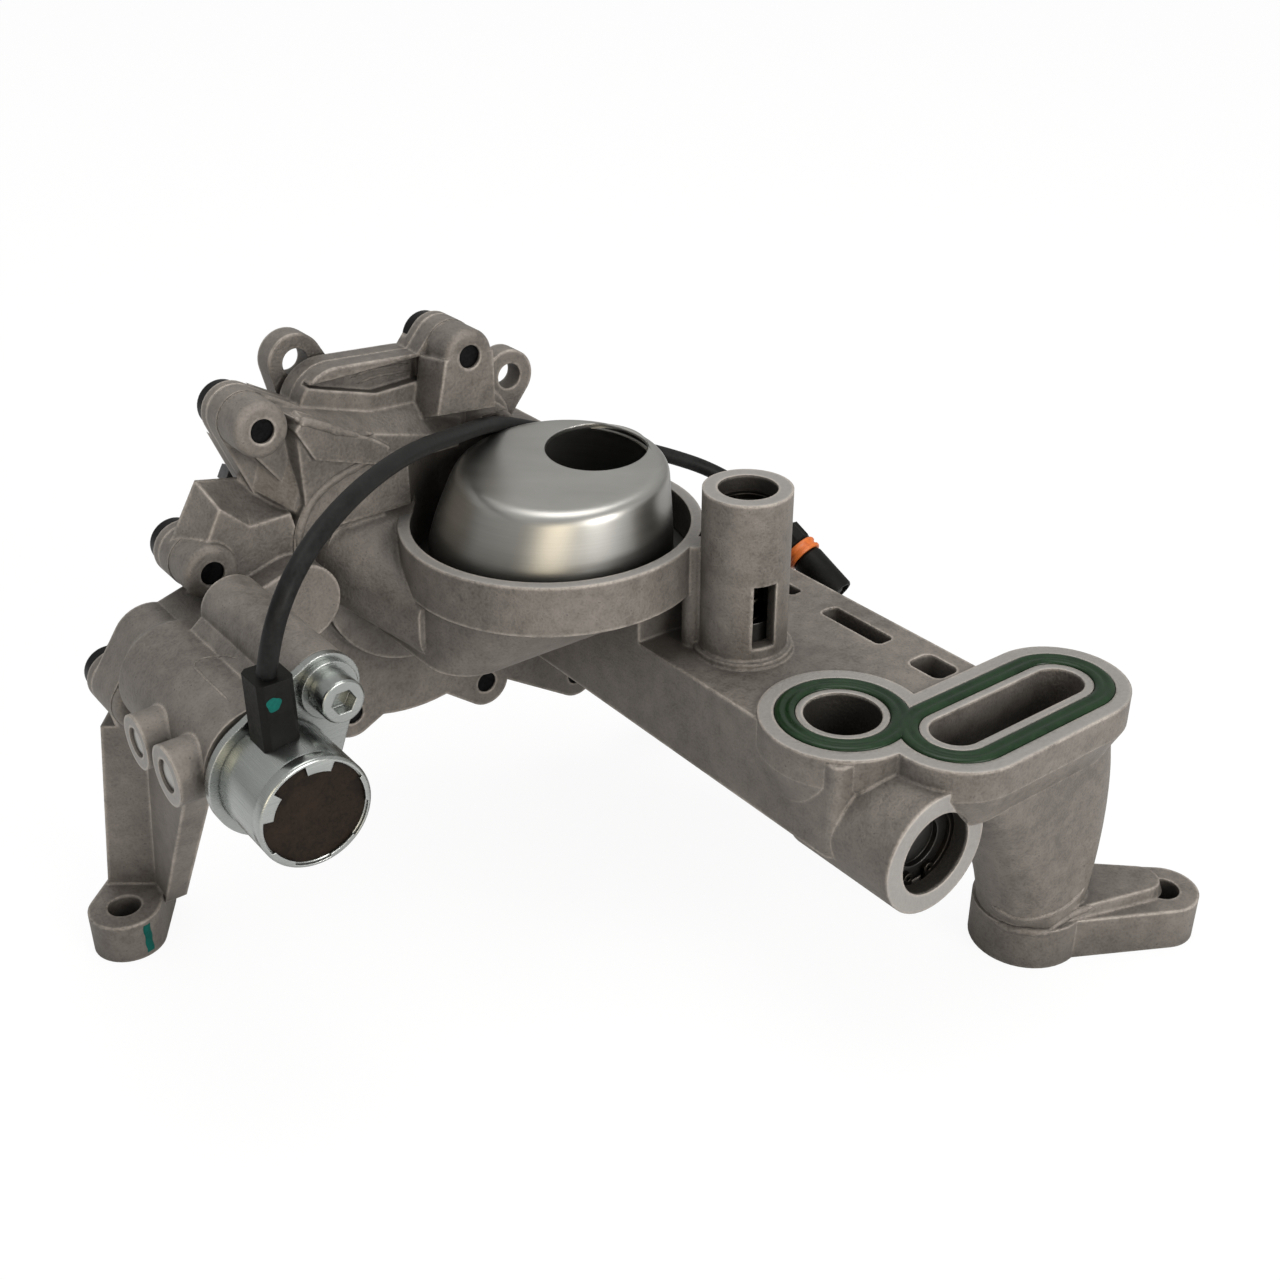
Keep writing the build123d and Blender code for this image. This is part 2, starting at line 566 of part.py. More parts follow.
def slot_port_way():
    """The passage from the slot port down the neck to the engine face."""
    middle = (SLOT_PORT_BACK_Y + SLOT_PORT_FRONT_Y) / 2
    span = SLOT_PORT_BACK_Y - SLOT_PORT_FRONT_Y
    way = along_z(slot_link(SLOT_PORT_HALF), PORT_FACE - SLOT_DEPTH, PORT_FACE)
    high_half = SLOT_PORT_HALF - 0.6
    high = RectangleRounded(2 * high_half, span - 1.2, high_half - 0.1)
    high = Pos(SLOT_PORT_X, middle, PORT_FACE - SLOT_DEPTH + 0.5) * high
    waist = Pos(SLOT_PORT_X + 1, middle + NECK_LEAN, NECK_WAIST_Z) * RectangleRounded(14, span - 20, 6.9)
    low = Pos(NECK_BASE_X, NECK_BASE_Y, 0) * RectangleRounded(2 * NECK_BORE_R, 2 * NECK_BORE_R + 0.5, 8.4)
    return way + loft([low, waist, high])


def gasket_outline(half_width):
    """The seal's outline: a band round each port, the two run together at the waist."""
    at_round = Pos(ROUND_PORT_X, ROUND_PORT_Y)
    band = slot_link(GASKET_SLOT_HALF + half_width) + at_round * Circle(GASKET_ROUND_R + half_width)
    band -= slot_link(GASKET_SLOT_HALF - half_width)
    return band - at_round * Circle(GASKET_ROUND_R - half_width)


def arm_slots():
    """The slots cored into the top of the arm."""
    cuts = None
    for x, y, length, width in ARM_SLOTS:
        outline = Pos(x, y) * RectangleRounded(length, width, 0.3 * width)
        cut = along_z(outline, ARM_TOP - ARM_SLOT_DEPTH, ARM_TOP)
        cuts = cut if cuts is None else cuts + cut
    return cuts


def bolt_holes():
    """Tapped holes for the cover bolts and the bracket bolt, dowel holes and engine bolt holes."""
    holes = None
    drills = []
    for number, place in enumerate(COVER_BOLTS):
        depth = BOSS_FRONT_X if number < 4 else JOINT_X + HOUSING_PLATE
        drills.append(x_cylinder(JOINT_X, depth, *place, BOLT_R))
    for place in DOWELS:
        drills.append(x_cylinder(JOINT_X, JOINT_X + DOWEL_LENGTH / 2, *place, DOWEL_R))
    drills.append(x_cylinder(BRACKET_PLATE_X - 16, BRACKET_PLATE_X, BRACKET_BOLT_Y, BRACKET_BOLT_Z, BOLT_R))
    for x, y in ((-OUTER_BOLT_X, -OUTER_BOLT_Y), (OUTER_BOLT_X, OUTER_BOLT_Y), (-OUTER_BOLT_X, REAR_FOOT_Y)):
        drills.append(z_cylinder(x, y, 0, BASE_FLANGE_HEIGHT, ENGINE_BOLT_HOLE_R))
    for drill in drills:
        holes = drill if holes is None else holes + drill
    return holes


def spool_bore():
    """The bore of the solenoid valve and its plugged cross drillings."""
    cuts = x_cylinder(SPOOL_FLOOR_X, BARREL_FRONT_X, VALVE_Y, VALVE_Z, SPOOL_BORE_R)
    for x, r in CROSS_BOSSES:
        cuts += y_cylinder(x, CROSS_FACE_Y, VALVE_Y, VALVE_Z, CROSS_BORE_SHARE * r)
    return cuts


def column_window():
    """The window in the side of the column."""
    window = block(0, COLUMN_R + 1, -WINDOW_WIDTH / 2, WINDOW_WIDTH / 2, WINDOW_BOTTOM, WINDOW_TOP)
    return Pos(COLUMN_X, COLUMN_Y, 0) * Rot(0, 0, WINDOW_TURN) * window


def circlip_grooves():
    """The grooves that hold the retaining rings of both valves."""
    top = COLUMN_TOP - PLUG_DEPTH + CIRCLIP_WIDTH
    grooves = z_cylinder(COLUMN_X, COLUMN_Y, top - CIRCLIP_WIDTH, top, VALVE_BORE_R + CIRCLIP_GROOVE)
    face = END_BOSS_X - PLUG_DEPTH + CIRCLIP_WIDTH
    grooves += x_cylinder(face - CIRCLIP_WIDTH, face, GALLERY_Y, GALLERY_Z, CHECK_BORE_R + CIRCLIP_GROOVE)
    return grooves


def front_bush_seat():
    """The blind bore of the front bush."""
    return x_cylinder(JOINT_X, JOINT_X + FRONT_BUSH, PUMP_Y, PUMP_Z, SHAFT_R + BUSH_WALL)


def pump_housing():
    """The main casting."""
    body = pump_front() + front_relief() - front_pocket()
    body += bowl_body() + suction_tunnel()
    body += arm_body() + column_body()
    body += port_flange()
    body += neck_and_base()
    body += end_boss()
    body += valve_barrel() + front_leg() + rear_leg()
    body -= block(JOINT_X - 20, JOINT_X, -2 * OUTER_BOLT_Y, OUTER_BOLT_Y, 64, 2 * COLUMN_TOP)
    body -= block(JOINT_X - 20, JOINT_X, -60, 50, 20, 64)
    trough_x = JOINT_X + HOUSING_PLATE - CABLE_TROUGH
    body -= block(trough_x, trough_x + 7, 3, 45, RIM_Z + 2, 121)
    body -= bowl_hollow()
    body -= oil_ways()
    body -= slot_port_way()
    groove = gasket_outline(GASKET_WIDTH / 2 + GROOVE_CLEARANCE)
    body -= along_z(groove, PORT_FACE - GROOVE_DEPTH, PORT_FACE)
    body -= arm_slots()
    body -= bolt_holes()
    body -= spool_bore()
    body -= column_window()
    body -= circlip_grooves()
    body -= front_bush_seat()
    return body


# Rear cover and what carries the shaft


def rear_cover():
    """The rear casing: flange, chamber cup, bearing hub and two ears."""
    back = JOINT_X - COVER_FLANGE
    cup_back = CHAMBER_BACK_X - CASING_WALL
    body = along_x(joint_outline(), back, JOINT_X)
    body += along_x(chamber_outline(CASING_WALL), cup_back, JOINT_X)
    body += x_cylinder(cup_back - REAR_HUB, cup_back, PUMP_Y, PUMP_Z, REAR_HUB_R)
    for turn in range(6):
        angle = radians(30 + 60 * turn)
        tip = (PUMP_Y + 27 * cos(angle), PUMP_Z + 27 * sin(angle))
        body += along_x(link((PUMP_Y, PUMP_Z), 3.0, tip, 2.0), cup_back - 6, cup_back)
    for place in EARS:
        arm = link(place, COVER_EAR_R, toward_pump(place, 0.7 * FLANGE_R), 1.5 * COVER_EAR_R)
        body += along_x(arm, EAR_BACK_X, EAR_BACK_X + COVER_EAR_THICK)
        root = toward_pump(place, FLANGE_R - 6), 9.0, toward_pump(place, 0.7 * FLANGE_R), 9.0
        body += along_x(link(*root), EAR_BACK_X, back)
    for place in COVER_BOLTS:
        body -= x_cylinder(back, JOINT_X - COVER_LUG, *place, BOSS_R + 0.5)
    body -= along_x(chamber_outline(0), CHAMBER_BACK_X, JOINT_X)
    body -= x_cylinder(cup_back - REAR_HUB, CHAMBER_BACK_X, PUMP_Y, PUMP_Z, SHAFT_R + BUSH_WALL)
    body -= x_cylinder(CHAMBER_BACK_X - 2, JOINT_X, PIVOT_Y, PIVOT_Z, PIVOT_R)
    for place in COVER_BOLTS:
        body -= x_cylinder(back, JOINT_X, *place, BOLT_HOLE_R)
    for place in EARS:
        body -= x_cylinder(EAR_BACK_X, EAR_BACK_X + COVER_EAR_THICK, *place, COVER_EAR_HOLE_R)
    for place in DOWELS:
        body -= x_cylinder(JOINT_X - DOWEL_LENGTH / 2, JOINT_X, *place, DOWEL_R)
    return body


def cover_bolts():
    """Bolts through the rear cover into the housing, their heads at the back."""
    back = JOINT_X - COVER_LUG
    bolts = []
    for number, place in enumerate(COVER_BOLTS):
        tip = BOSS_FRONT_X - 0.8 if number < 4 else JOINT_X + HOUSING_PLATE - 0.5
        shank = x_cylinder(back, tip, *place, BOLT_R)
        head = x_cylinder(back - BOLT_HEAD_HEIGHT, back, *place, BOLT_HEAD_R)
        socket = Plane.YZ.offset(back - BOLT_HEAD_HEIGHT) * Pos(*place) * RegularPolygon(2.9, 6)
        socket = extrude(socket, amount=2.8, dir=(1, 0, 0))
        bolts.append(shank + head - socket)
    return Compound(children=bolts)


def cover_dowels():
    """The two dowels that line up the rear cover."""
    half = DOWEL_LENGTH / 2
    return Compound(children=[x_cylinder(JOINT_X - half, JOINT_X + half, *place, DOWEL_R)
                              for place in DOWELS])


def bush(x0, x1):
    """A plain bearing bush for the shaft."""
    outer = x_cylinder(x0, x1, PUMP_Y, PUMP_Z, SHAFT_R + BUSH_WALL)
    return outer - x_cylinder(x0, x1, PUMP_Y, PUMP_Z, SHAFT_R + RUNNING_FIT)


# Pump mechanism


ROTOR_FRONT_X = JOINT_X - END_CLEARANCE
ROTOR_BACK_X = CHAMBER_BACK_X + END_CLEARANCE
HUB_BACK_X = CHAMBER_BACK_X - CASING_WALL - REAR_HUB
SPROCKET_FRONT_X = HUB_BACK_X - SPROCKET_GAP
SPROCKET_BACK_X = SPROCKET_FRONT_X - SPROCKET_THICK
VANE_TIP_R = RING_BORE_R - REST_OFFSET - TIP_CLEARANCE
VANE_FOOT_R = VANE_RING_R + REST_OFFSET + VANE_TRAVEL + TIP_CLEARANCE


def drive_shaft():
    """The pump shaft, with a shoulder for the sprocket and a tapped end for its bolt."""
    front = JOINT_X + FRONT_BUSH - 0.6
    shaft = x_cylinder(SPROCKET_BACK_X, front, PUMP_Y, PUMP_Z, SHAFT_R)
    shoulder = x_cylinder(SPROCKET_FRONT_X, HUB_BACK_X - 0.4, PUMP_Y, PUMP_Z, SHAFT_R + 2.2)
    tapped = x_cylinder(SPROCKET_BACK_X, SPROCKET_BACK_X + 14, PUMP_Y, PUMP_Z, SPROCKET_BOLT_R)
    return chamfer(shaft.edges().sort_by(Axis.X)[-1], 0.8) + shoulder - tapped


def sprocket_outline():
    """The tooth form: a blank with a roller seat cut between each pair of teeth."""
    pitch_r = CHAIN_PITCH / (2 * sin(pi / SPROCKET_TEETH))
    tip_r = pitch_r + 0.42 * CHAIN_PITCH
    outline = Circle(tip_r)
    step = 360 / SPROCKET_TEETH
    for tooth in range(SPROCKET_TEETH):
        seat = Pos(pitch_r, 0) * Circle(CHAIN_ROLLER_R)
        flank = Pos(pitch_r + CHAIN_ROLLER_R + 0.8, 0) * Trapezoid(2.4 * CHAIN_ROLLER_R, 4.0, 76, rotation=90)
        outline -= Rot(0, 0, tooth * step) * (seat + flank)
    return outline


def drive_sprocket():
    """The chain sprocket with its lightening holes and hub."""
    plate = Plane.YZ.offset(SPROCKET_BACK_X) * Pos(PUMP_Y, PUMP_Z) * sprocket_outline()
    body = extrude(plate, amount=SPROCKET_THICK, dir=(1, 0, 0))
    for hole in range(5):
        angle = radians(18 + 72 * hole)
        place = (PUMP_Y + 19.5 * cos(angle), PUMP_Z + 19.5 * sin(angle))
        body -= x_cylinder(SPROCKET_BACK_X, SPROCKET_FRONT_X, *place, 5.2)
    body -= x_cylinder(SPROCKET_BACK_X, SPROCKET_FRONT_X, PUMP_Y, PUMP_Z, SHAFT_R)
    return body


def sprocket_bolt():
    """The flanged bolt that clamps the sprocket to the shaft."""
    shank = x_cylinder(SPROCKET_BACK_X, SPROCKET_BACK_X + 13, PUMP_Y, PUMP_Z, SPROCKET_BOLT_R)
    flange = x_cylinder(SPROCKET_BACK_X - 1.6, SPROCKET_BACK_X, PUMP_Y, PUMP_Z, SPROCKET_BOLT_HEAD_R + 1.5)
    head = Plane.YZ.offset(SPROCKET_BACK_X - 1.6 - SPROCKET_BOLT_HEAD) * Pos(PUMP_Y, PUMP_Z)
    head = extrude(head * RegularPolygon(SPROCKET_BOLT_HEAD_R, 6), amount=SPROCKET_BOLT_HEAD, dir=(1, 0, 0))
    return shank + flange + head


def rotor():
    """The slotted rotor, recessed at both ends for the vane rings."""
    body = x_cylinder(ROTOR_BACK_X, ROTOR_FRONT_X, PUMP_Y, PUMP_Z, ROTOR_R)
    recess_r = VANE_RING_R + REST_OFFSET + 0.5
    depth = VANE_RING_WIDTH + 0.2
    body -= x_cylinder(ROTOR_FRONT_X - depth, ROTOR_FRONT_X, PUMP_Y, PUMP_Z, recess_r)
    body -= x_cylinder(ROTOR_BACK_X, ROTOR_BACK_X + depth, PUMP_Y, PUMP_Z, recess_r)
    body += x_cylinder(ROTOR_BACK_X, ROTOR_FRONT_X, PUMP_Y, PUMP_Z, SHAFT_R + 0.5)
    slot_foot = VANE_FOOT_R - VANE_TRAVEL - 0.2
    half = VANE_THICK / 2 + SLOT_CLEARANCE
    for vane in range(VANE_COUNT):
        slot = block(ROTOR_BACK_X, ROTOR_FRONT_X, slot_foot, ROTOR_R + 1, -half, half)
        body -= Pos(0, PUMP_Y, PUMP_Z) * Rot(360 * vane / VANE_COUNT, 0, 0) * slot
    return body - x_cylinder(ROTOR_BACK_X, ROTOR_FRONT_X, PUMP_Y, PUMP_Z, SHAFT_R)


def vane(number):
    """One vane, its tip at the least reach that every shaft angle allows."""
    half = VANE_THICK / 2
    body = block(ROTOR_BACK_X, ROTOR_FRONT_X, VANE_FOOT_R, VANE_TIP_R, -half, half)
    tips = body.edges().filter_by(Axis.X).sort_by(Axis.Y)[-2:]
    body = fillet(tips, 0.45 * VANE_THICK)
    return Pos(0, PUMP_Y, PUMP_Z) * Rot(360 * number / VANE_COUNT, 0, 0) * body


def vane_ring(x0, x1):
    """One of the two floating rings that hold the vanes out."""
    centre = ring_centre(REST_OFFSET)
    return x_cylinder(x0, x1, *centre, VANE_RING_R) - x_cylinder(x0, x1, *centre, VANE_RING_R - VANE_RING_WALL)


def control_ring():
    """The ring that the vanes run in: it swings on its pivot lobe against the spring tab."""
    centre = ring_centre(REST_OFFSET)
    lobe = link((PIVOT_Y, PIVOT_Z), PIVOT_LOBE_R, (PUMP_Y - RING_OUTER_R / 2, PIVOT_Z), PIVOT_LOBE_R + 1)
    low = PIVOT_Z - TAB_THICK / 2
    root = PUMP_Y + RING_OUTER_R / 2
    tab = Pos((root + TAB_END_Y) / 2, (low + TAB_TOP) / 2) * Rectangle(TAB_END_Y - root, TAB_THICK)
    outline = Pos(*centre) * Circle(RING_OUTER_R) + lobe + tab
    outline -= Pos(*centre) * Circle(RING_BORE_R)
    outline -= Pos(PIVOT_Y, PIVOT_Z) * Circle(PIVOT_R + RUNNING_FIT)
    return along_x(outline, ROTOR_BACK_X, ROTOR_FRONT_X)


def pivot_pin():
    """The pin that the control ring swings on, held in the rear cover."""
    return x_cylinder(CHAMBER_BACK_X - 2, ROTOR_FRONT_X, PIVOT_Y, PIVOT_Z, PIVOT_R)


def control_spring():
    """The spring that holds the control ring at full stroke."""
    coil = coil_spring(CONTROL_SPRING_R - CONTROL_SPRING_WIRE / 2, CONTROL_SPRING_WIRE,
                       CONTROL_SPRING_LENGTH - 0.1, CONTROL_SPRING_TURNS)
    return Pos(CHAMBER_MID_X, SPRING_Y, TAB_TOP + 0.05) * coil


# Pickup


def inlet_cap():
    """The pressed steel cap: a tilted dished cup with a wide hole to one side."""
    outer = cap_skin(0)
    inner = cap_skin(CAP_SHEET)
    foot = BOWL_LEDGE_Z + SCREEN_RIM
    flange = rim_disc(foot, foot + CAP_SHEET, CAP_FLANGE_R)
    flange -= z_cylinder(BOWL_X, BOWL_Y, foot, foot + CAP_SHEET, CAP_BASE_R - 2 * CAP_SHEET)
    hole = z_cylinder(BOWL_X, BOWL_Y + INLET_SHIFT_Y + CAP_SHIFT_Y, BOWL_LEDGE_Z + 12, CAP_TOP_Z + 9, INLET_R)
    return outer - inner + flange - hole


def cap_skin(inset):
    """The outside of the cap's cup, or its inside when inset by the sheet's thickness."""
    base = Pos(BOWL_X, BOWL_Y, BOWL_LEDGE_Z + SCREEN_RIM) * Circle(CAP_BASE_R - inset)
    shoulder = Pos(BOWL_X, BOWL_Y, BOWL_LEDGE_Z + SCREEN_RIM + 8) * Circle(CAP_BASE_R - 0.3 - inset)
    top_plane = Plane((BOWL_X + CAP_SHIFT_X, BOWL_Y + CAP_SHIFT_Y, CAP_TOP_Z - inset))
    top = top_plane * Rot(CAP_TILT, -CAP_TILT, 0) * Circle(CAP_TOP_R - 0.5 * inset)
    return loft([base, shoulder, top])


def screen_frame():
    """The ring that carries the strainer screen on the bowl's ledge."""
    top = BOWL_LEDGE_Z + SCREEN_RIM
    frame = rim_disc(BOWL_LEDGE_Z, top, BOWL_RIM_R - 0.1)
    return frame - z_cylinder(BOWL_X, BOWL_Y, BOWL_LEDGE_Z, top, BOWL_BORE_R - 1.5)


def strainer_screen():
    """The strainer screen, a thin disc held in its frame."""
    return z_cylinder(BOWL_X, BOWL_Y, BOWL_LEDGE_Z + 0.3, BOWL_LEDGE_Z + 0.3 + SCREEN_THICK, BOWL_BORE_R - 1.5)


# Ports


def port_gasket():
    """The moulded seal round both ports, one piece."""
    bead = along_z(gasket_outline(GASKET_WIDTH / 2), PORT_FACE - GROOVE_DEPTH, PORT_FACE + GASKET_PROUD)
    return bead


# Relief valve in the column


PISTON_FLOOR = VALVE_BORE_FLOOR
RELIEF_PLUG_TOP = COLUMN_TOP - PLUG_DEPTH
RELIEF_PLUG_BOTTOM = RELIEF_PLUG_TOP - PLUG_THICK


def relief_piston():
    """The cup-shaped relief piston on its seat."""
    r = VALVE_BORE_R - RUNNING_FIT
    body = z_cylinder(COLUMN_X, COLUMN_Y, PISTON_FLOOR, PISTON_FLOOR + PISTON_LENGTH, r)
    return body - z_cylinder(COLUMN_X, COLUMN_Y, PISTON_FLOOR + 4, PISTON_FLOOR + PISTON_LENGTH, r - 2)


def relief_spring():
    """The relief spring, from inside the piston to the plug."""
    bottom = PISTON_FLOOR + 4.05
    length = RELIEF_PLUG_BOTTOM - 0.05 - bottom
    mean_r = VALVE_BORE_R - 2 - RELIEF_SPRING_WIRE / 2 - 0.35
    coil = coil_spring(mean_r, RELIEF_SPRING_WIRE, length, RELIEF_SPRING_TURNS)
    return Pos(COLUMN_X, COLUMN_Y, bottom) * coil


def relief_plug():
    """The plug that the relief spring pushes on."""
    plug = z_cylinder(COLUMN_X, COLUMN_Y, RELIEF_PLUG_BOTTOM, RELIEF_PLUG_TOP, VALVE_BORE_R)
    return plug - z_cylinder(COLUMN_X, COLUMN_Y, RELIEF_PLUG_TOP - 1.2, RELIEF_PLUG_TOP, 0.5 * VALVE_BORE_R)


def circlip(bore_r):
    """An internal retaining ring with its gap and two plier eyes, lying on Z = 0."""
    body = ring(bore_r + CIRCLIP_GROOVE, bore_r - 1.3, CIRCLIP_WIDTH)
    body -= block(0, bore_r + 2, -0.2 * bore_r, 0.2 * bore_r, 0, CIRCLIP_WIDTH)
    for side in (-1, 1):
        place = Rot(0, 0, side * 22) * Pos(bore_r - 1.6, 0, CIRCLIP_WIDTH / 2)
        body += place * Cylinder(1.5, CIRCLIP_WIDTH)
        body -= place * Cylinder(0.6, CIRCLIP_WIDTH)
    return body


def relief_circlip():
    """The retaining ring over the relief plug."""
    return Pos(COLUMN_X, COLUMN_Y, RELIEF_PLUG_TOP) * circlip(VALVE_BORE_R)


# Check valve in the end boss


CHECK_SEAT_X = END_BOSS_X - CHECK_BORE_DEPTH
CHECK_PLUG_FRONT = END_BOSS_X - PLUG_DEPTH
CHECK_PLUG_BACK = CHECK_PLUG_FRONT - PLUG_THICK


def check_poppet():
    """The poppet that closes the gallery, a cup with a domed nose."""
    r = CHECK_BORE_R - RUNNING_FIT
    cup = x_cylinder(CHECK_SEAT_X, CHECK_SEAT_X + POPPET_LENGTH, GALLERY_Y, GALLERY_Z, r)
    return cup - x_cylinder(CHECK_SEAT_X + 3, CHECK_SEAT_X + POPPET_LENGTH, GALLERY_Y, GALLERY_Z, r - 2)


def check_spring():
    """The spring between the poppet and its plug."""
    start = CHECK_SEAT_X + 3.05
    length = CHECK_PLUG_BACK - 0.05 - start
    coil = coil_spring(CHECK_BORE_R - 3.6, CHECK_SPRING_WIRE, length, CHECK_SPRING_TURNS)
    return Pos(start, GALLERY_Y, GALLERY_Z) * Rot(0, 90, 0) * coil


def check_plug():
    """The dished plug at the mouth of the end boss."""
    plug = x_cylinder(CHECK_PLUG_BACK, CHECK_PLUG_FRONT, GALLERY_Y, GALLERY_Z, CHECK_BORE_R)
    return plug - x_cylinder(CHECK_PLUG_FRONT - 1.5, CHECK_PLUG_FRONT, GALLERY_Y, GALLERY_Z, 0.6 * CHECK_BORE_R)


def check_circlip():
    """The retaining ring before the check valve's plug."""
    return Pos(CHECK_PLUG_FRONT, GALLERY_Y, GALLERY_Z) * Rot(0, 90, 0) * circlip(CHECK_BORE_R)


# Control solenoid


CAN_BACK_X = BARREL_FRONT_X + CAN_GAP
CAN_FRONT_X = CAN_BACK_X + CAN_LENGTH


def solenoid_can():
    """The steel can, open at the front, with its rim tabs rolled over the end cap."""
    can = x_cylinder(CAN_BACK_X, CAN_FRONT_X, VALVE_Y, VALVE_Z, CAN_R)
    can -= x_cylinder(CAN_BACK_X + CAN_SHEET, CAN_FRONT_X - 0.8, VALVE_Y, VALVE_Z, CAN_R - CAN_SHEET)
    can -= x_cylinder(CAN_BACK_X, CAN_BACK_X + CAN_SHEET, VALVE_Y, VALVE_Z, CORE_R)
    for lip in range(5):
        gap = block(CAN_FRONT_X - 0.8, CAN_FRONT_X, 0, CAN_R + 1, -4.4, 4.4)
        can -= Pos(0, VALVE_Y, VALVE_Z) * Rot(20 + 72 * lip, 0, 0) * gap
    can -= x_cylinder(CAN_FRONT_X - 0.8, CAN_FRONT_X, VALVE_Y, VALVE_Z, CAN_R - 2.4)
    return can


def solenoid_end_cap():
    """The moulded disc that closes the can."""
    front = CAN_FRONT_X - 0.8
    return x_cylinder(front - END_CAP_THICK, front, VALVE_Y, VALVE_Z, CAN_R - CAN_SHEET)


def solenoid_coil():
    """The coil on its bobbin, inside the can."""
    front = CAN_FRONT_X - 0.8 - END_CAP_THICK
    back = CAN_BACK_X + CAN_SHEET
    coil = x_cylinder(back, front, VALVE_Y, VALVE_Z, COIL_R)
    return coil - x_cylinder(back, front, VALVE_Y, VALVE_Z, CORE_R + 0.1)


def solenoid_core():
    """The fixed pole piece at the front of the coil."""
    front = CAN_FRONT_X - 0.8 - END_CAP_THICK
    return x_cylinder(front - 9, front, VALVE_Y, VALVE_Z, CORE_R)


def valve_spool():
    """The control spool with its armature, one piece sliding along X."""
    r = SPOOL_R
    body = x_cylinder(SPOOL_FLOOR_X + 12, SPOOL_FLOOR_X + 18, VALVE_Y, VALVE_Z, r)
    body += x_cylinder(SPOOL_FLOOR_X + 18, SPOOL_FLOOR_X + 24, VALVE_Y, VALVE_Z, 0.55 * r)
    body += x_cylinder(SPOOL_FLOOR_X + 24, BARREL_FRONT_X + 0.2, VALVE_Y, VALVE_Z, r)
    front = CAN_FRONT_X - 0.8 - END_CAP_THICK - 9 - SPOOL_STROKE - 0.3
    return body + x_cylinder(BARREL_FRONT_X + 0.2, front, VALVE_Y, VALVE_Z, CORE_R - 0.3)


def spool_spring():
    """The return spring at the blind end of the spool's bore."""
    length = 12 - 0.1
    coil = coil_spring(3.6, 1.0, length, 6)
    return Pos(SPOOL_FLOOR_X + 0.05, VALVE_Y, VALVE_Z) * Rot(0, 90, 0) * coil


def solenoid_bracket():
    """The zinc-plated plate round the can, with an eye for its bolt."""
    x0 = BRACKET_PLATE_X
    outline = link((VALVE_Y, VALVE_Z), CAN_R + 2.2, (BRACKET_BOLT_Y, BRACKET_BOLT_Z), BRACKET_WASHER_R + 1.2)
    outline -= Pos(VALVE_Y, VALVE_Z) * Circle(CAN_R)
    outline -= Pos(BRACKET_BOLT_Y, BRACKET_BOLT_Z) * Circle(BOLT_HOLE_R)
    return along_x(outline, x0, x0 + BRACKET_THICK)


def bracket_washer():
    """The wide washer under the bracket bolt."""
    x0 = BRACKET_PLATE_X + BRACKET_THICK
    washer = x_cylinder(x0, x0 + BRACKET_WASHER, BRACKET_BOLT_Y, BRACKET_BOLT_Z, BRACKET_WASHER_R)
    return washer - x_cylinder(x0, x0 + BRACKET_WASHER, BRACKET_BOLT_Y, BRACKET_BOLT_Z, BOLT_HOLE_R)


def bracket_bolt():
    """The socket-head bolt that holds the solenoid's bracket."""
    seat = BRACKET_PLATE_X + BRACKET_THICK + BRACKET_WASHER
    top = seat + BRACKET_BOLT_HEAD
    shank = x_cylinder(BRACKET_PLATE_X - 15, seat, BRACKET_BOLT_Y, BRACKET_BOLT_Z, BOLT_R)
    head = x_cylinder(seat, top, BRACKET_BOLT_Y, BRACKET_BOLT_Z, BRACKET_BOLT_HEAD_R)
    head = fillet(head.edges().sort_by(Axis.X)[-1], 0.6)
    socket = Plane.YZ.offset(top - 3) * Pos(BRACKET_BOLT_Y, BRACKET_BOLT_Z) * RegularPolygon(2.9, 6)
    return shank + head - extrude(socket, amount=3, dir=(1, 0, 0))


def passage_plugs():
    """Pressed plugs in the two cross bosses."""
    plugs = []
    for x, r in CROSS_BOSSES:
        face = CROSS_FACE_Y + CROSS_PLUG_DEPTH
        plug = y_cylinder(x, face, face + CROSS_PLUG_THICK, VALVE_Z, CROSS_BORE_SHARE * r)
        dish = y_cylinder(x, face, face + 0.8, VALVE_Z, 0.3 * r)
        plugs.append(plug - dish)
    return Compound(children=plugs)


def lead_block():
    """The moulded block on the can that the cable leaves from."""
    wide, deep, tall = BLOCK_SIZE
    base = Pos(BLOCK_X, BLOCK_Y, BLOCK_Z) * Box(wide, deep, tall)
    base = chamfer(base.edges().filter_by(Axis.Z), 1.2)
    return base - x_cylinder(BLOCK_X - wide, BLOCK_X + wide, VALVE_Y, VALVE_Z, CAN_R)


def solenoid_cable():
    """The cable from the lead block, over the tunnel and behind the cap, to its connector."""
    radii = []
    for before, here, after in zip(CABLE_POINTS, CABLE_POINTS[1:], CABLE_POINTS[2:]):
        first = Vector(*here) - Vector(*before)
        second = Vector(*after) - Vector(*here)
        turn = radians(first.get_angle(second))
        radii.append(0.45 * min(first.length, second.length) / tan(turn / 2))
    path = FilletPolyline(*CABLE_POINTS, radius=radii)
    start = Vector(*CABLE_POINTS[1]) - Vector(*CABLE_POINTS[0])
    section = Plane(CABLE_POINTS[0], z_dir=start) * Circle(CABLE_R)
    print("cable length", round(path.length, 1), "tightest bend", round(min(radii), 1))
    return sweep(section, path=path)


def connector_frame():
    """The connector's own frame: its axis leads on from the end of the cable."""
    end = Vector(*CABLE_POINTS[-1])
    return Plane(end, z_dir=end - Vector(*CABLE_POINTS[-2]))


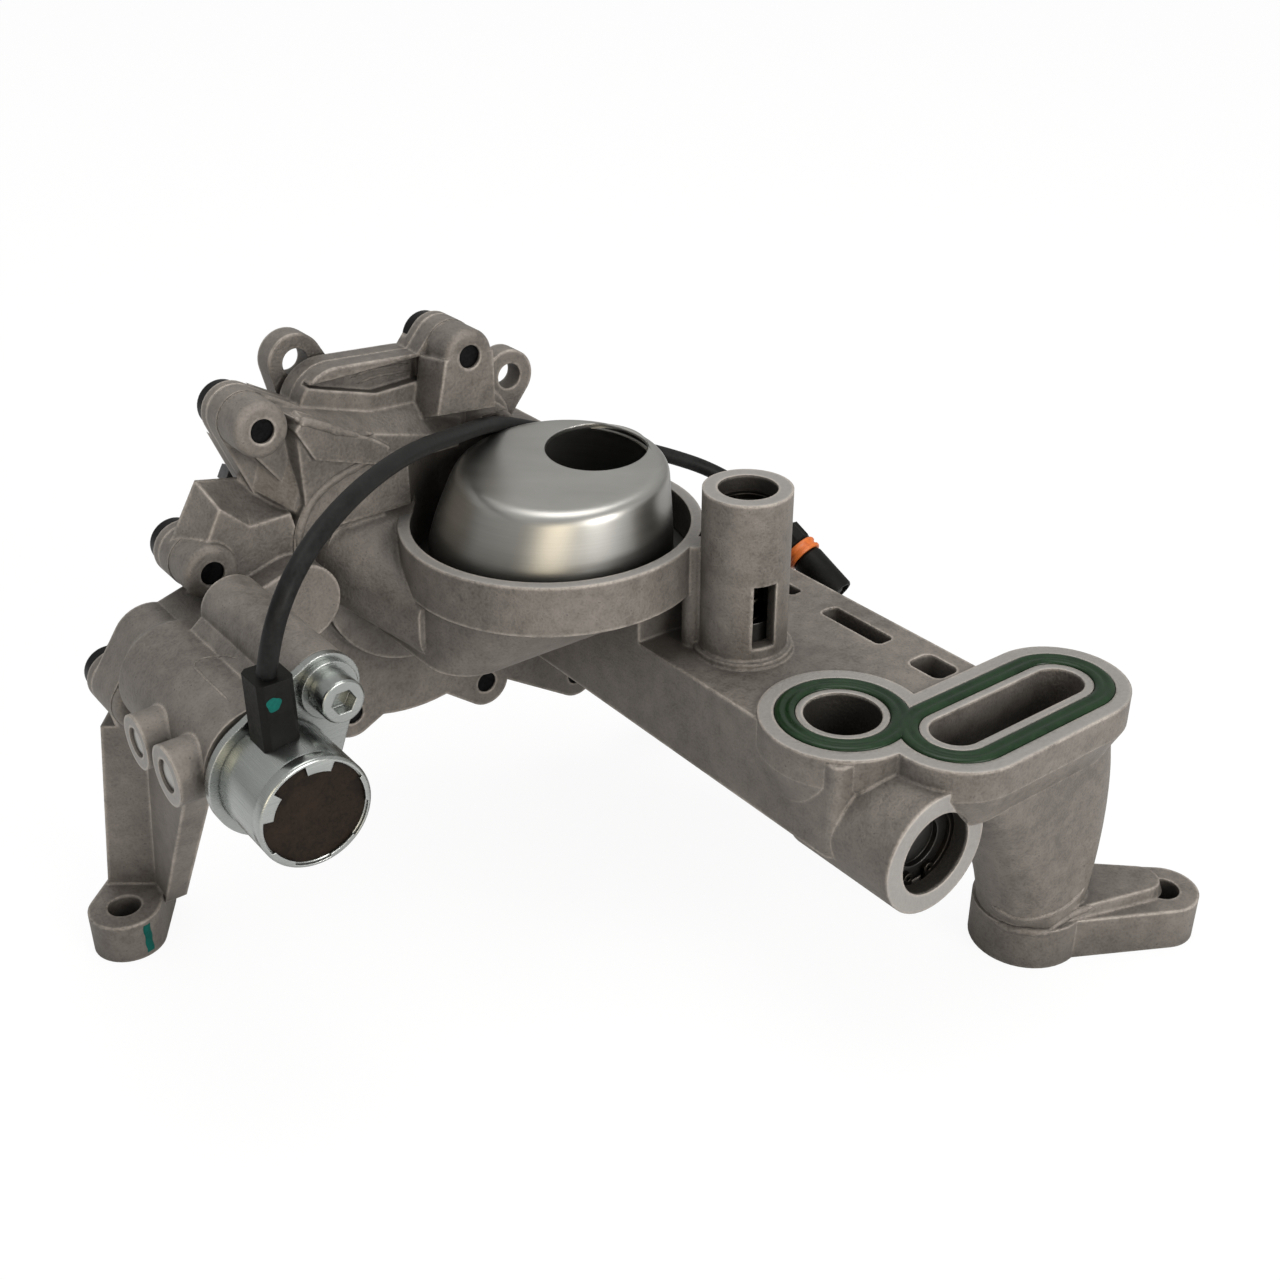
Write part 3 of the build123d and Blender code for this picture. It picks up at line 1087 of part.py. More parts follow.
def cable_connector():
    """The round plug at the cable's end, with its collar and a blank face."""
    body = Pos(0, 0, 3) * Cylinder(3.6, 6) + Pos(0, 0, 9) * Cylinder(CONNECTOR_R, 6)
    body += Pos(0, 0, 14) * Cylinder(CONNECTOR_R - 1.6, 4) + Pos(0, 0, 23) * Cylinder(CONNECTOR_R, 14)
    body -= Pos(0, 0, 26) * Cylinder(CONNECTOR_R - 1.5, 8)
    body += Pos(0, 0, 25) * Cylinder(2.0, 10)
    return connector_frame() * body


def connector_seal():
    """The orange seal in the connector's groove."""
    seal = Pos(0, 0, 14) * (Cylinder(CONNECTOR_R + 0.5, 3.6) - Cylinder(CONNECTOR_R - 1.6, 3.6))
    return connector_frame() * seal


def build_nodes():
    """Every sub-part by name."""
    nodes = {
        "pump_housing": pump_housing(),
        "rear_cover": rear_cover(),
        "cover_bolts": cover_bolts(),
        "cover_dowels": cover_dowels(),
        "front_bush": bush(JOINT_X + 0.1, JOINT_X + FRONT_BUSH),
        "rear_bush": bush(HUB_BACK_X, CHAMBER_BACK_X),
        "drive_shaft": drive_shaft(),
        "drive_sprocket": drive_sprocket(),
        "sprocket_bolt": sprocket_bolt(),
        "rotor": rotor(),
        "vane_ring_front": vane_ring(ROTOR_FRONT_X - VANE_RING_WIDTH, ROTOR_FRONT_X),
        "vane_ring_rear": vane_ring(ROTOR_BACK_X, ROTOR_BACK_X + VANE_RING_WIDTH),
        "control_ring": control_ring(),
        "pivot_pin": pivot_pin(),
        "control_spring": control_spring(),
        "inlet_cap": inlet_cap(),
        "screen_frame": screen_frame(),
        "strainer_screen": strainer_screen(),
        "port_gasket": port_gasket(),
        "relief_piston": relief_piston(),
        "relief_spring": relief_spring(),
        "relief_plug": relief_plug(),
        "relief_retaining_ring": relief_circlip(),
        "check_poppet": check_poppet(),
        "check_spring": check_spring(),
        "check_plug": check_plug(),
        "check_retaining_ring": check_circlip(),
        "passage_plugs": passage_plugs(),
        "solenoid_can": solenoid_can(),
        "solenoid_end_cap": solenoid_end_cap(),
        "solenoid_coil": solenoid_coil(),
        "solenoid_core": solenoid_core(),
        "valve_spool": valve_spool(),
        "spool_spring": spool_spring(),
        "solenoid_bracket": solenoid_bracket(),
        "bracket_washer": bracket_washer(),
        "bracket_bolt": bracket_bolt(),
        "lead_block": lead_block(),
        "solenoid_cable": solenoid_cable(),
        "cable_connector": cable_connector(),
        "connector_seal": connector_seal(),
    }
    for number in range(VANE_COUNT):
        nodes["vane_" + str(number + 1)] = vane(number)
    return nodes


os.makedirs("parts", exist_ok=True)
for name, shape in build_nodes().items():
    export_step(shape, "parts/" + name + ".step")
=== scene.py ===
"""Looks of the engine oil pump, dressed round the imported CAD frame.

The casting, steel, rubber and plastic pieces get procedural finishes. The pieces that the CAD keeps
plain (pickup cap, port seal, cable, connector and its seal, solenoid can, springs, pressed plugs) are
replaced by detailed meshes, and the casting gets its fine raised lines and two paint marks.

Sizes are in millimetres and are turned to metres with MM.
"""

import json
import logging
import math
from dataclasses import dataclass, field
from enum import Enum

import bmesh
import bpy
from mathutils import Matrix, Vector


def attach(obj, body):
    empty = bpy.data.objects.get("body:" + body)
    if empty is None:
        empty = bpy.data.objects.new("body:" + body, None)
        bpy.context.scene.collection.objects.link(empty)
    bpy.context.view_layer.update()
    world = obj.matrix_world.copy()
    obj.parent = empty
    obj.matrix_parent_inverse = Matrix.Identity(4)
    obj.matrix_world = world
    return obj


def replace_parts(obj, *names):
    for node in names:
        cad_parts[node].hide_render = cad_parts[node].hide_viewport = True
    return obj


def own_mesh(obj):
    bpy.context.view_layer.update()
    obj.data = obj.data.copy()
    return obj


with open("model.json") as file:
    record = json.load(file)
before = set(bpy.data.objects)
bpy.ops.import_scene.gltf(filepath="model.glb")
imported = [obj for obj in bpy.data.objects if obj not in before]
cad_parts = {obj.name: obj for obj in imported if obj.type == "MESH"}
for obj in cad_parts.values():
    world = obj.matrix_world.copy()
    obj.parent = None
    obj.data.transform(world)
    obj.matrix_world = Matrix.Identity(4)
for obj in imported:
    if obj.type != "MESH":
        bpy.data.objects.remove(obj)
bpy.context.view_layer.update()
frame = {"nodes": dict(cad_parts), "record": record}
LOG = logging.getLogger("oil_pump")
MM = 0.001
Colour = tuple[float, float, float]
Point = tuple[float, float, float]
Place = tuple[float, float]
Row = list[Vector]


class Body(Enum):
    """Bodies of the frame that new pieces ride on."""

    HOUSING = "housing"


class Surface(Enum):
    """How a finish scatters light: its share of metal."""

    METAL = 1.0
    OXIDE = 0.35
    MOULDED = 0.0


# Shader graph helpers


class Graph:
    """Adds nodes to one shader tree and joins them."""

    def __init__(self, tree: bpy.types.NodeTree) -> None:
        """Keep the tree that the nodes go into."""
        self.tree = tree

    def feed(self, socket: bpy.types.NodeSocket, value: object) -> None:
        """Link an output socket into an input, or set the input's value.

        Args:
            socket: the input.
            value: an output socket, or a plain value.
        """
        if isinstance(value, bpy.types.NodeSocket):
            self.tree.links.new(value, socket)
        else:
            socket.default_value = value

    def add(self, kind: str, inputs: dict | None = None, **settings: object) -> bpy.types.Node:
        """Add a node and fill or link its inputs.

        Args:
            kind: the node's Blender type name.
            inputs: socket name or index to a value or an output socket.
            settings: attributes of the node itself.

        Returns:
            The new node.
        """
        node = self.tree.nodes.new(kind)
        for name, value in settings.items():
            setattr(node, name, value)
        for key, value in (inputs or {}).items():
            self.feed(node.inputs[key], value)
        return node

    def math(self, operation: str, first: object, second: object = 0.5,
             clamp: bool = False) -> bpy.types.NodeSocket:
        """Add a Math node and return its output socket."""
        node = self.add("ShaderNodeMath", {0: first, 1: second}, operation=operation, use_clamp=clamp)
        return node.outputs[0]

    def blend(self, first: object, first_share: float, second: object,
              second_share: float) -> bpy.types.NodeSocket:
        """Add two values, each times its share."""
        parts = [self.math("MULTIPLY", *part) for part in ((first, first_share), (second, second_share))]
        return self.math("ADD", *parts)

    def noise(self, place: object, scale: object, detail: float) -> bpy.types.NodeSocket:
        """Add a noise texture and return the socket of its value."""
        return self.add("ShaderNodeTexNoise", {"Vector": place, "Scale": scale, "Detail": detail}).outputs[0]

    def mix(self, factor: object, first: object, second: object) -> bpy.types.NodeSocket:
        """Mix two colours.

        Args:
            factor: 0 for the first colour and 1 for the second.
            first: a colour or a socket.
            second: a colour or a socket.

        Returns:
            The result's socket.
        """
        node = self.add("ShaderNodeMix", data_type="RGBA")
        for socket, value in ((node.inputs[0], factor), (node.inputs[6], first), (node.inputs[7], second)):
            self.feed(socket, (*value, 1.0) if isinstance(value, tuple) else value)
        return node.outputs[2]

    def place(self, group: bpy.types.NodeTree, **values: object) -> bpy.types.Node:
        """Place a shared group with its own values.

        Args:
            group: the group's tree.
            values: value or socket by input name, with _ for a space.

        Returns:
            The group's node.
        """
        node = self.tree.nodes.new("ShaderNodeGroup")
        node.node_tree = group
        for name, value in values.items():
            self.feed(node.inputs[name.replace("_", " ")], value)
        return node


def new_group(name: str, inputs: dict[str, float], outputs: dict[str, str]) -> tuple:
    """Start a shader node group.

    Args:
        name: the group's name.
        inputs: float inputs and their defaults.
        outputs: output names and their socket kinds, such as "Float" or "Vector".

    Returns:
        The tree, its graph, the outputs of its input node and the inputs of its output node.
    """
    tree = bpy.data.node_groups.new(name, "ShaderNodeTree")
    for key, value in inputs.items():
        socket = tree.interface.new_socket(key, in_out="INPUT", socket_type="NodeSocketFloat")
        socket.default_value = value
    for key, kind in outputs.items():
        tree.interface.new_socket(key, in_out="OUTPUT", socket_type="NodeSocket" + kind)
    graph = Graph(tree)
    return tree, graph, graph.add("NodeGroupInput").outputs, graph.add("NodeGroupOutput").inputs


MOTTLE_SCALE = 0.22
FINE_SHARE, MOTTLE_SHARE = 0.55, 0.45
SKIN_SHARE, CLOUD_SHARE = 0.6, 0.4
TONE_LOW, TONE_HIGH = 0.39, 0.61
SPECK_START, SPECK_GAIN = 0.60, 5.0


def grain_group() -> bpy.types.NodeTree:
    """Blasted or moulded skin: broad cloudiness, mid mottling and fine grain.

    Returns:
        The group, with the skin's tone, its relief and a mask of small dark specks.
    """
    tree, graph, given, out = new_group(
        "skin_grain", {"Grain": 1500.0, "Cloud": 45.0},
        {"Tone": "Float", "Height": "Float", "Specks": "Float"},
    )
    place = graph.add("ShaderNodeTexCoord").outputs["Object"]
    fine = graph.noise(place, given["Grain"], 2.0)
    mottle = graph.noise(place, graph.math("MULTIPLY", given["Grain"], MOTTLE_SCALE), 3.0)
    cloud = graph.noise(place, given["Cloud"], 3.0)
    skin = graph.blend(fine, FINE_SHARE, mottle, MOTTLE_SHARE)
    tone = graph.blend(skin, SKIN_SHARE, cloud, CLOUD_SHARE)
    spread = graph.add("ShaderNodeMapRange", {"Value": tone, "From Min": TONE_LOW, "From Max": TONE_HIGH})
    graph.feed(out["Tone"], spread.outputs[0])
    graph.feed(out["Height"], skin)
    over = graph.math("SUBTRACT", fine, SPECK_START, True)
    graph.feed(out["Specks"], graph.math("MULTIPLY", over, SPECK_GAIN, True))
    return tree


EDGE_SAMPLES = 6
EDGE_GAIN = 9.0


def edge_group() -> bpy.types.NodeTree:
    """Rounded edges.

    Returns:
        The group, with a softened normal and a mask that is 1 on corners, for their wear and painted
        highlight.
    """
    tree, graph, given, out = new_group(
        "edge_round", {"Radius": 0.0006}, {"Mask": "Float", "Normal": "Vector"}
    )
    bevel = graph.add("ShaderNodeBevel", {"Radius": given["Radius"]}, samples=EDGE_SAMPLES).outputs[0]
    normal = graph.add("ShaderNodeNewGeometry").outputs["Normal"]
    dot = graph.add("ShaderNodeVectorMath", {0: bevel, 1: normal}, operation="DOT_PRODUCT").outputs["Value"]
    turned = graph.math("SUBTRACT", 1.0, dot, True)
    graph.feed(out["Mask"], graph.math("MULTIPLY", turned, EDGE_GAIN, True))
    graph.feed(out["Normal"], bevel)
    return tree


CREVICE_SAMPLES = 5


def crevice_group() -> bpy.types.NodeTree:
    """Painted shade in corners and bores.

    Returns:
        The group, with a value that is 1 in the open and less where little light gets in.
    """
    tree, graph, given, out = new_group("crevice_shade", {"Reach": 0.02, "Depth": 0.8}, {"Shade": "Float"})
    sky = graph.add("ShaderNodeAmbientOcclusion", {"Distance": given["Reach"]}, samples=CREVICE_SAMPLES)
    graph.feed(out["Shade"], graph.math("POWER", sky.outputs["AO"], given["Depth"]))
    return tree


LEVEL_REACH = 0.25 * MM
LEVEL_FACING = 0.9


def level_group() -> bpy.types.NodeTree:
    """A machined level.

    Returns:
        The group, with a mask that is 1 where the coordinate is at the level and the face looks along it.
    """
    tree, graph, given, out = new_group(
        "machined_level", {"Coordinate": 0.0, "Facing": 0.0, "Level": 0.0}, {"Mask": "Float"}
    )
    near = graph.add(
        "ShaderNodeMath", {0: given["Coordinate"], 1: given["Level"], 2: LEVEL_REACH}, operation="COMPARE"
    ).outputs[0]
    facing = graph.math("GREATER_THAN", given["Facing"], LEVEL_FACING)
    graph.feed(out["Mask"], graph.math("MULTIPLY", near, facing))
    return tree


def bore_group() -> bpy.types.NodeTree:
    """A bored hole, for the painted shade on the walls inside.

    Returns:
        The group, with a mask that is 1 within a radius of the bore's axis.
    """
    tree, graph, given, out = new_group(
        "bore_mask",
        {"Place U": 0.0, "Place V": 0.0, "Centre U": 0.0, "Centre V": 0.0, "Radius": 0.005},
        {"Mask": "Float"},
    )
    across = [graph.math("SUBTRACT", given["Place " + key], given["Centre " + key]) for key in "UV"]
    squares = [graph.math("MULTIPLY", side, side) for side in across]
    reach = graph.math("SQRT", graph.math("ADD", squares[0], squares[1]))
    graph.feed(out["Mask"], graph.math("LESS_THAN", reach, given["Radius"]))
    return tree


STAIN_SCALE = 60.0
STROKE_SHARE, STAIN_SHARE = 0.5, 0.5


def stroke_group() -> bpy.types.NodeTree:
    """Fine drawn or turned lines along one direction, from stretched noise.

    Returns:
        The group, with the tone of lines and stains, and the lines' relief.
    """
    tree, graph, given, out = new_group(
        "metal_strokes", {"Along X": 60.0, "Along Y": 60.0, "Along Z": 2400.0},
        {"Tone": "Float", "Height": "Float"},
    )
    place = graph.add("ShaderNodeTexCoord").outputs["Object"]
    stretch = graph.add("ShaderNodeCombineXYZ", {i: given["Along " + key] for i, key in enumerate("XYZ")})
    moved = graph.add("ShaderNodeVectorMath", {0: place, 1: stretch.outputs[0]}, operation="MULTIPLY")
    lines = graph.noise(moved.outputs[0], 1.0, 4.0)
    stains = graph.noise(place, STAIN_SCALE, 3.0)
    graph.feed(out["Tone"], graph.blend(lines, STROKE_SHARE, stains, STAIN_SHARE))
    graph.feed(out["Height"], lines)
    return tree


@dataclass
class Groups:
    """The shared node groups, built once."""

    grain: bpy.types.NodeTree = field(default_factory=grain_group)
    edge: bpy.types.NodeTree = field(default_factory=edge_group)
    crevice: bpy.types.NodeTree = field(default_factory=crevice_group)
    level: bpy.types.NodeTree = field(default_factory=level_group)
    bore: bpy.types.NodeTree = field(default_factory=bore_group)
    strokes: bpy.types.NodeTree = field(default_factory=stroke_group)


# Finishes

# Share of the dark colour in the painted shade of crevices.
PAINTED_SHADE_SHARE = 0.25
# Lighter edges, partly wear and partly painted highlight.
WEAR_AND_HIGHLIGHT_GAIN = 2.0
WEAR_AND_HIGHLIGHT_OPENNESS = 2.0
WEAR_AND_HIGHLIGHT_PATCH, WEAR_AND_HIGHLIGHT_BASE = 0.9, 0.35
PIT_SHARE = 0.8
MACHINING_SCALE = 900.0
BORE_MARGIN = 0.06


@dataclass(frozen=True)
class Finish:
    """A finish with grain, tone changes, painted crevice shade, and softened edges with wear and painted
    highlight.

    Relief, edge radius and shade reach are in metres.
    """

    name: str
    dark: Colour
    light: Colour
    surface: Surface = Surface.METAL
    roughness: float = 0.5
    rough_spread: float = 0.15
    grain: float = 1500.0
    cloud: float = 45.0
    relief: float = 0.00003
    edge_radius: float = 0.0004
    edge_wear_and_highlight: float = 0.25
    gloss: float = 0.5
    shade_reach: float = 0.024
    shade_depth: float = 0.5

    def start(self, groups: Groups) -> tuple[bpy.types.Material, Graph, bpy.types.Node, bpy.types.Node]:
        """Begin the material.

        Args:
            groups: the shared groups.

        Returns:
            The material, its graph, its Principled shader and the grain group's node.
        """
        material = bpy.data.materials.new(self.name)
        material.use_nodes = True
        graph = Graph(material.node_tree)
        shader = material.node_tree.nodes["Principled BSDF"]
        shader.inputs["Metallic"].default_value = self.surface.value
        shader.inputs["Specular IOR Level"].default_value = self.gloss
        grain = graph.place(groups.grain, Grain=self.grain, Cloud=self.cloud)
        return material, graph, shader, grain

    def close(self, graph: Graph, shader: bpy.types.Node, groups: Groups, colour: bpy.types.NodeSocket,
              tone: bpy.types.NodeSocket, height: bpy.types.NodeSocket) -> None:
        """Join colour, painted shade, edge wear and painted highlight, roughness, bump and edges to the
        shader.

        Args:
            graph: the material's graph.
            shader: its Principled BSDF.
            groups: the shared groups.
            colour: socket with the surface colour.
            tone: socket that moves the roughness and breaks up the edges' wear and painted highlight.
            height: socket with the relief's height.
        """
        edge = graph.place(groups.edge, Radius=self.edge_radius).outputs
        # Worn edges with a painted highlight: a lighter copy of the light colour, kept to open edges and
        # broken into patches.
        bright = tuple(min(1.0, c * (1.0 + WEAR_AND_HIGHLIGHT_GAIN * self.edge_wear_and_highlight)) for c in self.light)
        shade = graph.place(groups.crevice, Reach=self.shade_reach, Depth=self.shade_depth).outputs[0]
        # Painted shade: the colour darkens towards a dark tone where the crevice group finds little open
        # sky.
        deep = graph.mix(shade, tuple(c * PAINTED_SHADE_SHARE for c in self.dark), colour)
        open_edge = graph.math("MULTIPLY", edge["Mask"], graph.math("POWER", shade, WEAR_AND_HIGHLIGHT_OPENNESS), True)
        patches = graph.math("ADD", graph.math("MULTIPLY", tone, WEAR_AND_HIGHLIGHT_PATCH), WEAR_AND_HIGHLIGHT_BASE)
        mask = graph.math("MULTIPLY", graph.math("MULTIPLY", open_edge, patches), self.edge_wear_and_highlight, True)
        low, high = self.roughness - self.rough_spread, self.roughness + self.rough_spread
        rough = graph.add("ShaderNodeMapRange", {"Value": tone, "To Min": low, "To Max": high})
        bump = graph.add("ShaderNodeBump", {"Height": height, "Distance": self.relief, "Strength": 1.0,
                                            "Normal": edge["Normal"]})
        graph.feed(shader.inputs["Base Color"], graph.mix(mask, deep, bright))
        graph.feed(shader.inputs["Roughness"], rough.outputs[0])
        graph.feed(shader.inputs["Normal"], bump.outputs[0])

    def build(self, groups: Groups) -> bpy.types.Material:
        """Build the material.

        Args:
            groups: the shared groups.

        Returns:
            The material.
        """
        material, graph, shader, grain = self.start(groups)
        colour = graph.mix(grain.outputs["Tone"], self.dark, self.light)
        self.close(graph, shader, groups, colour, grain.outputs["Tone"], grain.outputs["Height"])
        return material


@dataclass(frozen=True)
class CastFinish(Finish):
    """Blasted cast aluminium with brighter machined levels and painted shade in the bores.

    A level is its axis, its coordinate and the way that it faces. A bore is its axis, its centre on
    the two other axes and its radius.
    """

    # Near-black painted shade for the walls inside the bores.
    painted_bore_shade: Colour = (0.040, 0.036, 0.031)
    machined_dark: Colour = (0.27, 0.255, 0.24)
    machined_light: Colour = (0.42, 0.405, 0.385)
    levels: tuple[tuple[int, float, float], ...] = ()
    bores: tuple[tuple[int, float, float, float], ...] = ()

    def build(self, groups: Groups) -> bpy.types.Material:
        """Build the material, with a mask for each machined level and each bore.

        Args:
            groups: the shared groups.

        Returns:
            The material.
        """
        material, graph, shader, grain = self.start(groups)
        cast = graph.mix(grain.outputs["Tone"], self.dark, self.light)
        pitted = graph.mix(grain.outputs["Specks"], cast, tuple(c * PIT_SHARE for c in self.dark))
        geometry = graph.add("ShaderNodeNewGeometry").outputs
        place = graph.add("ShaderNodeSeparateXYZ", {0: geometry["Position"]}).outputs
        normal = graph.add("ShaderNodeSeparateXYZ", {0: geometry["Normal"]}).outputs
        mask = None
        for axis, level, sign in self.levels:
            facing = graph.math("MULTIPLY", normal[axis], sign)
            node = graph.place(groups.level, Coordinate=place[axis], Facing=facing, Level=level * MM)
            found = node.outputs["Mask"]
            mask = found if mask is None else graph.math("MAXIMUM", mask, found)
        strokes = graph.place(
            groups.strokes, Along_X=MACHINING_SCALE, Along_Y=MACHINING_SCALE, Along_Z=MACHINING_SCALE
        )
        machined = graph.mix(strokes.outputs["Tone"], self.machined_dark, self.machined_light)
        colour = graph.mix(mask, pitted, machined)
        for axis, centre_u, centre_v, radius in self.bores:
            u, v = (place[other] for other in range(3) if other != axis)
            inside = graph.place(groups.bore, Place_U=u, Place_V=v, Centre_U=centre_u * MM,
                                 Centre_V=centre_v * MM, Radius=(radius + BORE_MARGIN) * MM).outputs[0]
            # Painted shade: the walls inside each bore take a near-black colour.
            colour = graph.mix(inside, colour, self.painted_bore_shade)
        self.close(graph, shader, groups, colour, grain.outputs["Tone"], grain.outputs["Height"])
        return material


@dataclass(frozen=True)
class DrawnFinish(Finish):
    """Pressed or turned steel, with fine lines and soft stains."""

    along: Point = (60.0, 60.0, 2400.0)

    def build(self, groups: Groups) -> bpy.types.Material:
        """Build the material.

        Args:
            groups: the shared groups.

        Returns:
            The material.
        """
        material, graph, shader, _ = self.start(groups)
        strokes = graph.place(
            groups.strokes, Along_X=self.along[0], Along_Y=self.along[1], Along_Z=self.along[2]
        ).outputs
        colour = graph.mix(strokes["Tone"], self.dark, self.light)
        self.close(graph, shader, groups, colour, strokes["Tone"], strokes["Height"])
        return material


HOUSING_LEVELS = (
    (2, 76.0, 1.0), (2, 118.5, 1.0), (2, 103.0, 1.0), (2, 0.0, -1.0), (0, 70.5, 1.0), (1, -111.5, -1.0),
)
HOUSING_BORES = ((2, -2.0, 32.0, 7.3), (0, 28.0, 55.0, 10.5), (2, 38.0, 28.4, 9.3))
COVER_LEVELS = ((0, -92.5, -1.0), (0, -82.5, -1.0), (0, -111.5, -1.0))
CAST_SKIN = {
    "dark": (0.142, 0.125, 0.109), "light": (0.272, 0.246, 0.219), "surface": Surface.OXIDE,
    "roughness": 0.55, "rough_spread": 0.1, "grain": 1250.0, "cloud": 38.0, "relief": 0.00030,
    "edge_radius": 0.0014, "edge_wear_and_highlight": 0.8, "shade_reach": 0.017, "shade_depth": 0.75,
}
TEAL_PAINT = Finish(
    "teal_paint", (0.003, 0.085, 0.070), (0.006, 0.135, 0.112), Surface.MOULDED, 0.5, 0.05,
    edge_radius=0.0001, gloss=0.12,
)


@dataclass(frozen=True)
class FinishBook:
    """Every finish, by the record's material slot."""

    book: tuple[tuple[str, Finish], ...] = (
        ("cast", CastFinish("blasted_casting", **CAST_SKIN, levels=HOUSING_LEVELS, bores=HOUSING_BORES)),
        ("cover_cast", CastFinish("blasted_cover", **CAST_SKIN, levels=COVER_LEVELS)),
        ("steel", DrawnFinish(
            "pressed_steel", (0.36, 0.355, 0.335), (0.56, 0.555, 0.53), Surface.METAL, 0.36, 0.06,
            relief=0.000004, edge_radius=0.0005, edge_wear_and_highlight=0.15)),
        ("zinc", DrawnFinish(
            "zinc_plate", (0.30, 0.32, 0.31), (0.56, 0.58, 0.56), Surface.METAL, 0.27, 0.08,
            relief=0.0000015, edge_wear_and_highlight=0.4)),
        ("black_bolt", Finish(
            "black_oxide", (0.008, 0.008, 0.008), (0.022, 0.022, 0.023), Surface.METAL, 0.42, 0.1)),
        ("hardened", DrawnFinish(
            "ground_steel", (0.10, 0.095, 0.09), (0.24, 0.235, 0.225), Surface.METAL, 0.34, 0.06,
            shade_depth=1.3)),
        ("spring_steel", DrawnFinish(
            "oiled_wire", (0.06, 0.052, 0.045), (0.17, 0.15, 0.13), Surface.METAL, 0.3, 0.05,
            shade_depth=1.2)),
        ("bronze", Finish(
            "sintered_bronze", (0.30, 0.18, 0.07), (0.52, 0.34, 0.15), Surface.METAL, 0.45, 0.1,
            grain=2200.0)),
        ("sinter", Finish(
            "sintered_steel", (0.085, 0.085, 0.088), (0.20, 0.20, 0.205), Surface.METAL, 0.5, 0.1,
            grain=2400.0, relief=0.00006)),
        ("gasket_green", Finish(
            "green_rubber", (0.004, 0.019, 0.005), (0.009, 0.036, 0.010), Surface.MOULDED, 0.34, 0.08,
            grain=700.0, cloud=90.0, relief=0.00002, edge_radius=0.0002, edge_wear_and_highlight=0.1, gloss=0.3)),
        ("black_rubber", Finish(
            "cable_sheath", (0.006, 0.006, 0.006), (0.018, 0.018, 0.018), Surface.MOULDED, 0.5, 0.08,
            grain=900.0, cloud=60.0, relief=0.00004, edge_radius=0.0002, edge_wear_and_highlight=0.1, gloss=0.16)),
        ("black_plastic", Finish(
            "black_moulding", (0.003, 0.003, 0.0025), (0.009, 0.009, 0.008), Surface.MOULDED, 0.5, 0.1,
            grain=1800.0, cloud=60.0, relief=0.00005, gloss=0.16)),
        ("brown_plastic", Finish(
            "brown_moulding", (0.010, 0.0062, 0.0040), (0.026, 0.0168, 0.0108), Surface.MOULDED, 0.58, 0.08,
            cloud=80.0, relief=0.00004, edge_radius=0.0003, edge_wear_and_highlight=0.15, gloss=0.14)),
        ("orange_seal", Finish(
            "orange_silicone", (0.55, 0.10, 0.015), (0.80, 0.20, 0.03), Surface.MOULDED, 0.4, 0.06,
            grain=900.0, cloud=90.0, relief=0.00002)),
        ("copper", DrawnFinish(
            "wound_coil", (0.25, 0.09, 0.03), (0.62, 0.28, 0.14), Surface.METAL, 0.35, 0.08,
            relief=0.0002, along=(1800.0, 60.0, 60.0))),
        ("mesh_steel", DrawnFinish(
            "woven_screen", (0.05, 0.05, 0.05), (0.30, 0.30, 0.29), Surface.METAL, 0.4, 0.1,
            relief=0.0002, along=(1500.0, 60.0, 60.0))),
    )

    def build(self, groups: Groups) -> dict[str, bpy.types.Material]:
        """Build every material and return them by slot."""
        return {slot: finish.build(groups) for slot, finish in self.book}


# Mesh helpers


def link(name: str, data: bpy.types.ID) -> bpy.types.Object:
    """Put a new object in the scene.

    Args:
        name: the object's name.
        data: its mesh, curve, lamp or camera data.

    Returns:
        The object.
    """
    shape = bpy.data.objects.new(name, data)
    bpy.context.scene.collection.objects.link(shape)
    return shape


def piece(name: str, mesh: bpy.types.Mesh, material: bpy.types.Material,
          smooth_angle: float = 35.0) -> bpy.types.Object:
    """Make an object from a mesh, shade it, dress it and let it ride on the housing.

    Args:
        name: the piece's name.
        mesh: its mesh, in the row frame.
        material: its finish.
        smooth_angle: sharper corners than this stay crisp, in degrees.

    Returns:
        The object.
    """
    shape = link(name, mesh)
    mesh.materials.append(material)
    mesh.polygons.foreach_set("use_smooth", [True] * len(mesh.polygons))
    mesh.set_sharp_from_angle(angle=math.radians(smooth_angle))
    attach(shape, Body.HOUSING.value)
    LOG.info("built %s", name)
    return shape


def rows_mesh(name: str, rows: list[Row], closed_stack: bool = False) -> bpy.types.Mesh:
    """Skin a stack of closed point rows with quads.

    Args:
        name: the mesh's name.
        rows: loops of the same number of points.
        closed_stack: whether the last row joins the first.

    Returns:
        The mesh.
    """
    form = bmesh.new()
    grid = [[form.verts.new(point) for point in row] for row in rows]
    count = len(rows[0])
    for r in range(len(grid) if closed_stack else len(grid) - 1):
        low, high = grid[r], grid[(r + 1) % len(grid)]
        for c in range(count):
            n = (c + 1) % count
            form.faces.new((low[c], low[n], high[n], high[c]))
    bmesh.ops.recalc_face_normals(form, faces=form.faces)
    mesh = bpy.data.meshes.new(name)
    form.to_mesh(mesh)
    form.free()
    return mesh


def join_meshes(name: str, meshes: list[bpy.types.Mesh]) -> bpy.types.Mesh:
    """Join several meshes into one.

    Args:
        name: the new mesh's name.
        meshes: the meshes, which are used up.

    Returns:
        The mesh.
    """
    form = bmesh.new()
    for mesh in meshes:
        form.from_mesh(mesh)
        bpy.data.meshes.remove(mesh)
    joined = bpy.data.meshes.new(name)
    form.to_mesh(joined)
    form.free()
    return joined


def turns(count: int) -> list[float]:
    """Equal steps of a full turn, in radians."""
    return [2 * math.pi * step / count for step in range(count)]


def way(turn: float) -> Vector:
    """The flat direction at an angle."""
    return Vector((math.cos(turn), math.sin(turn)))


# Pieces


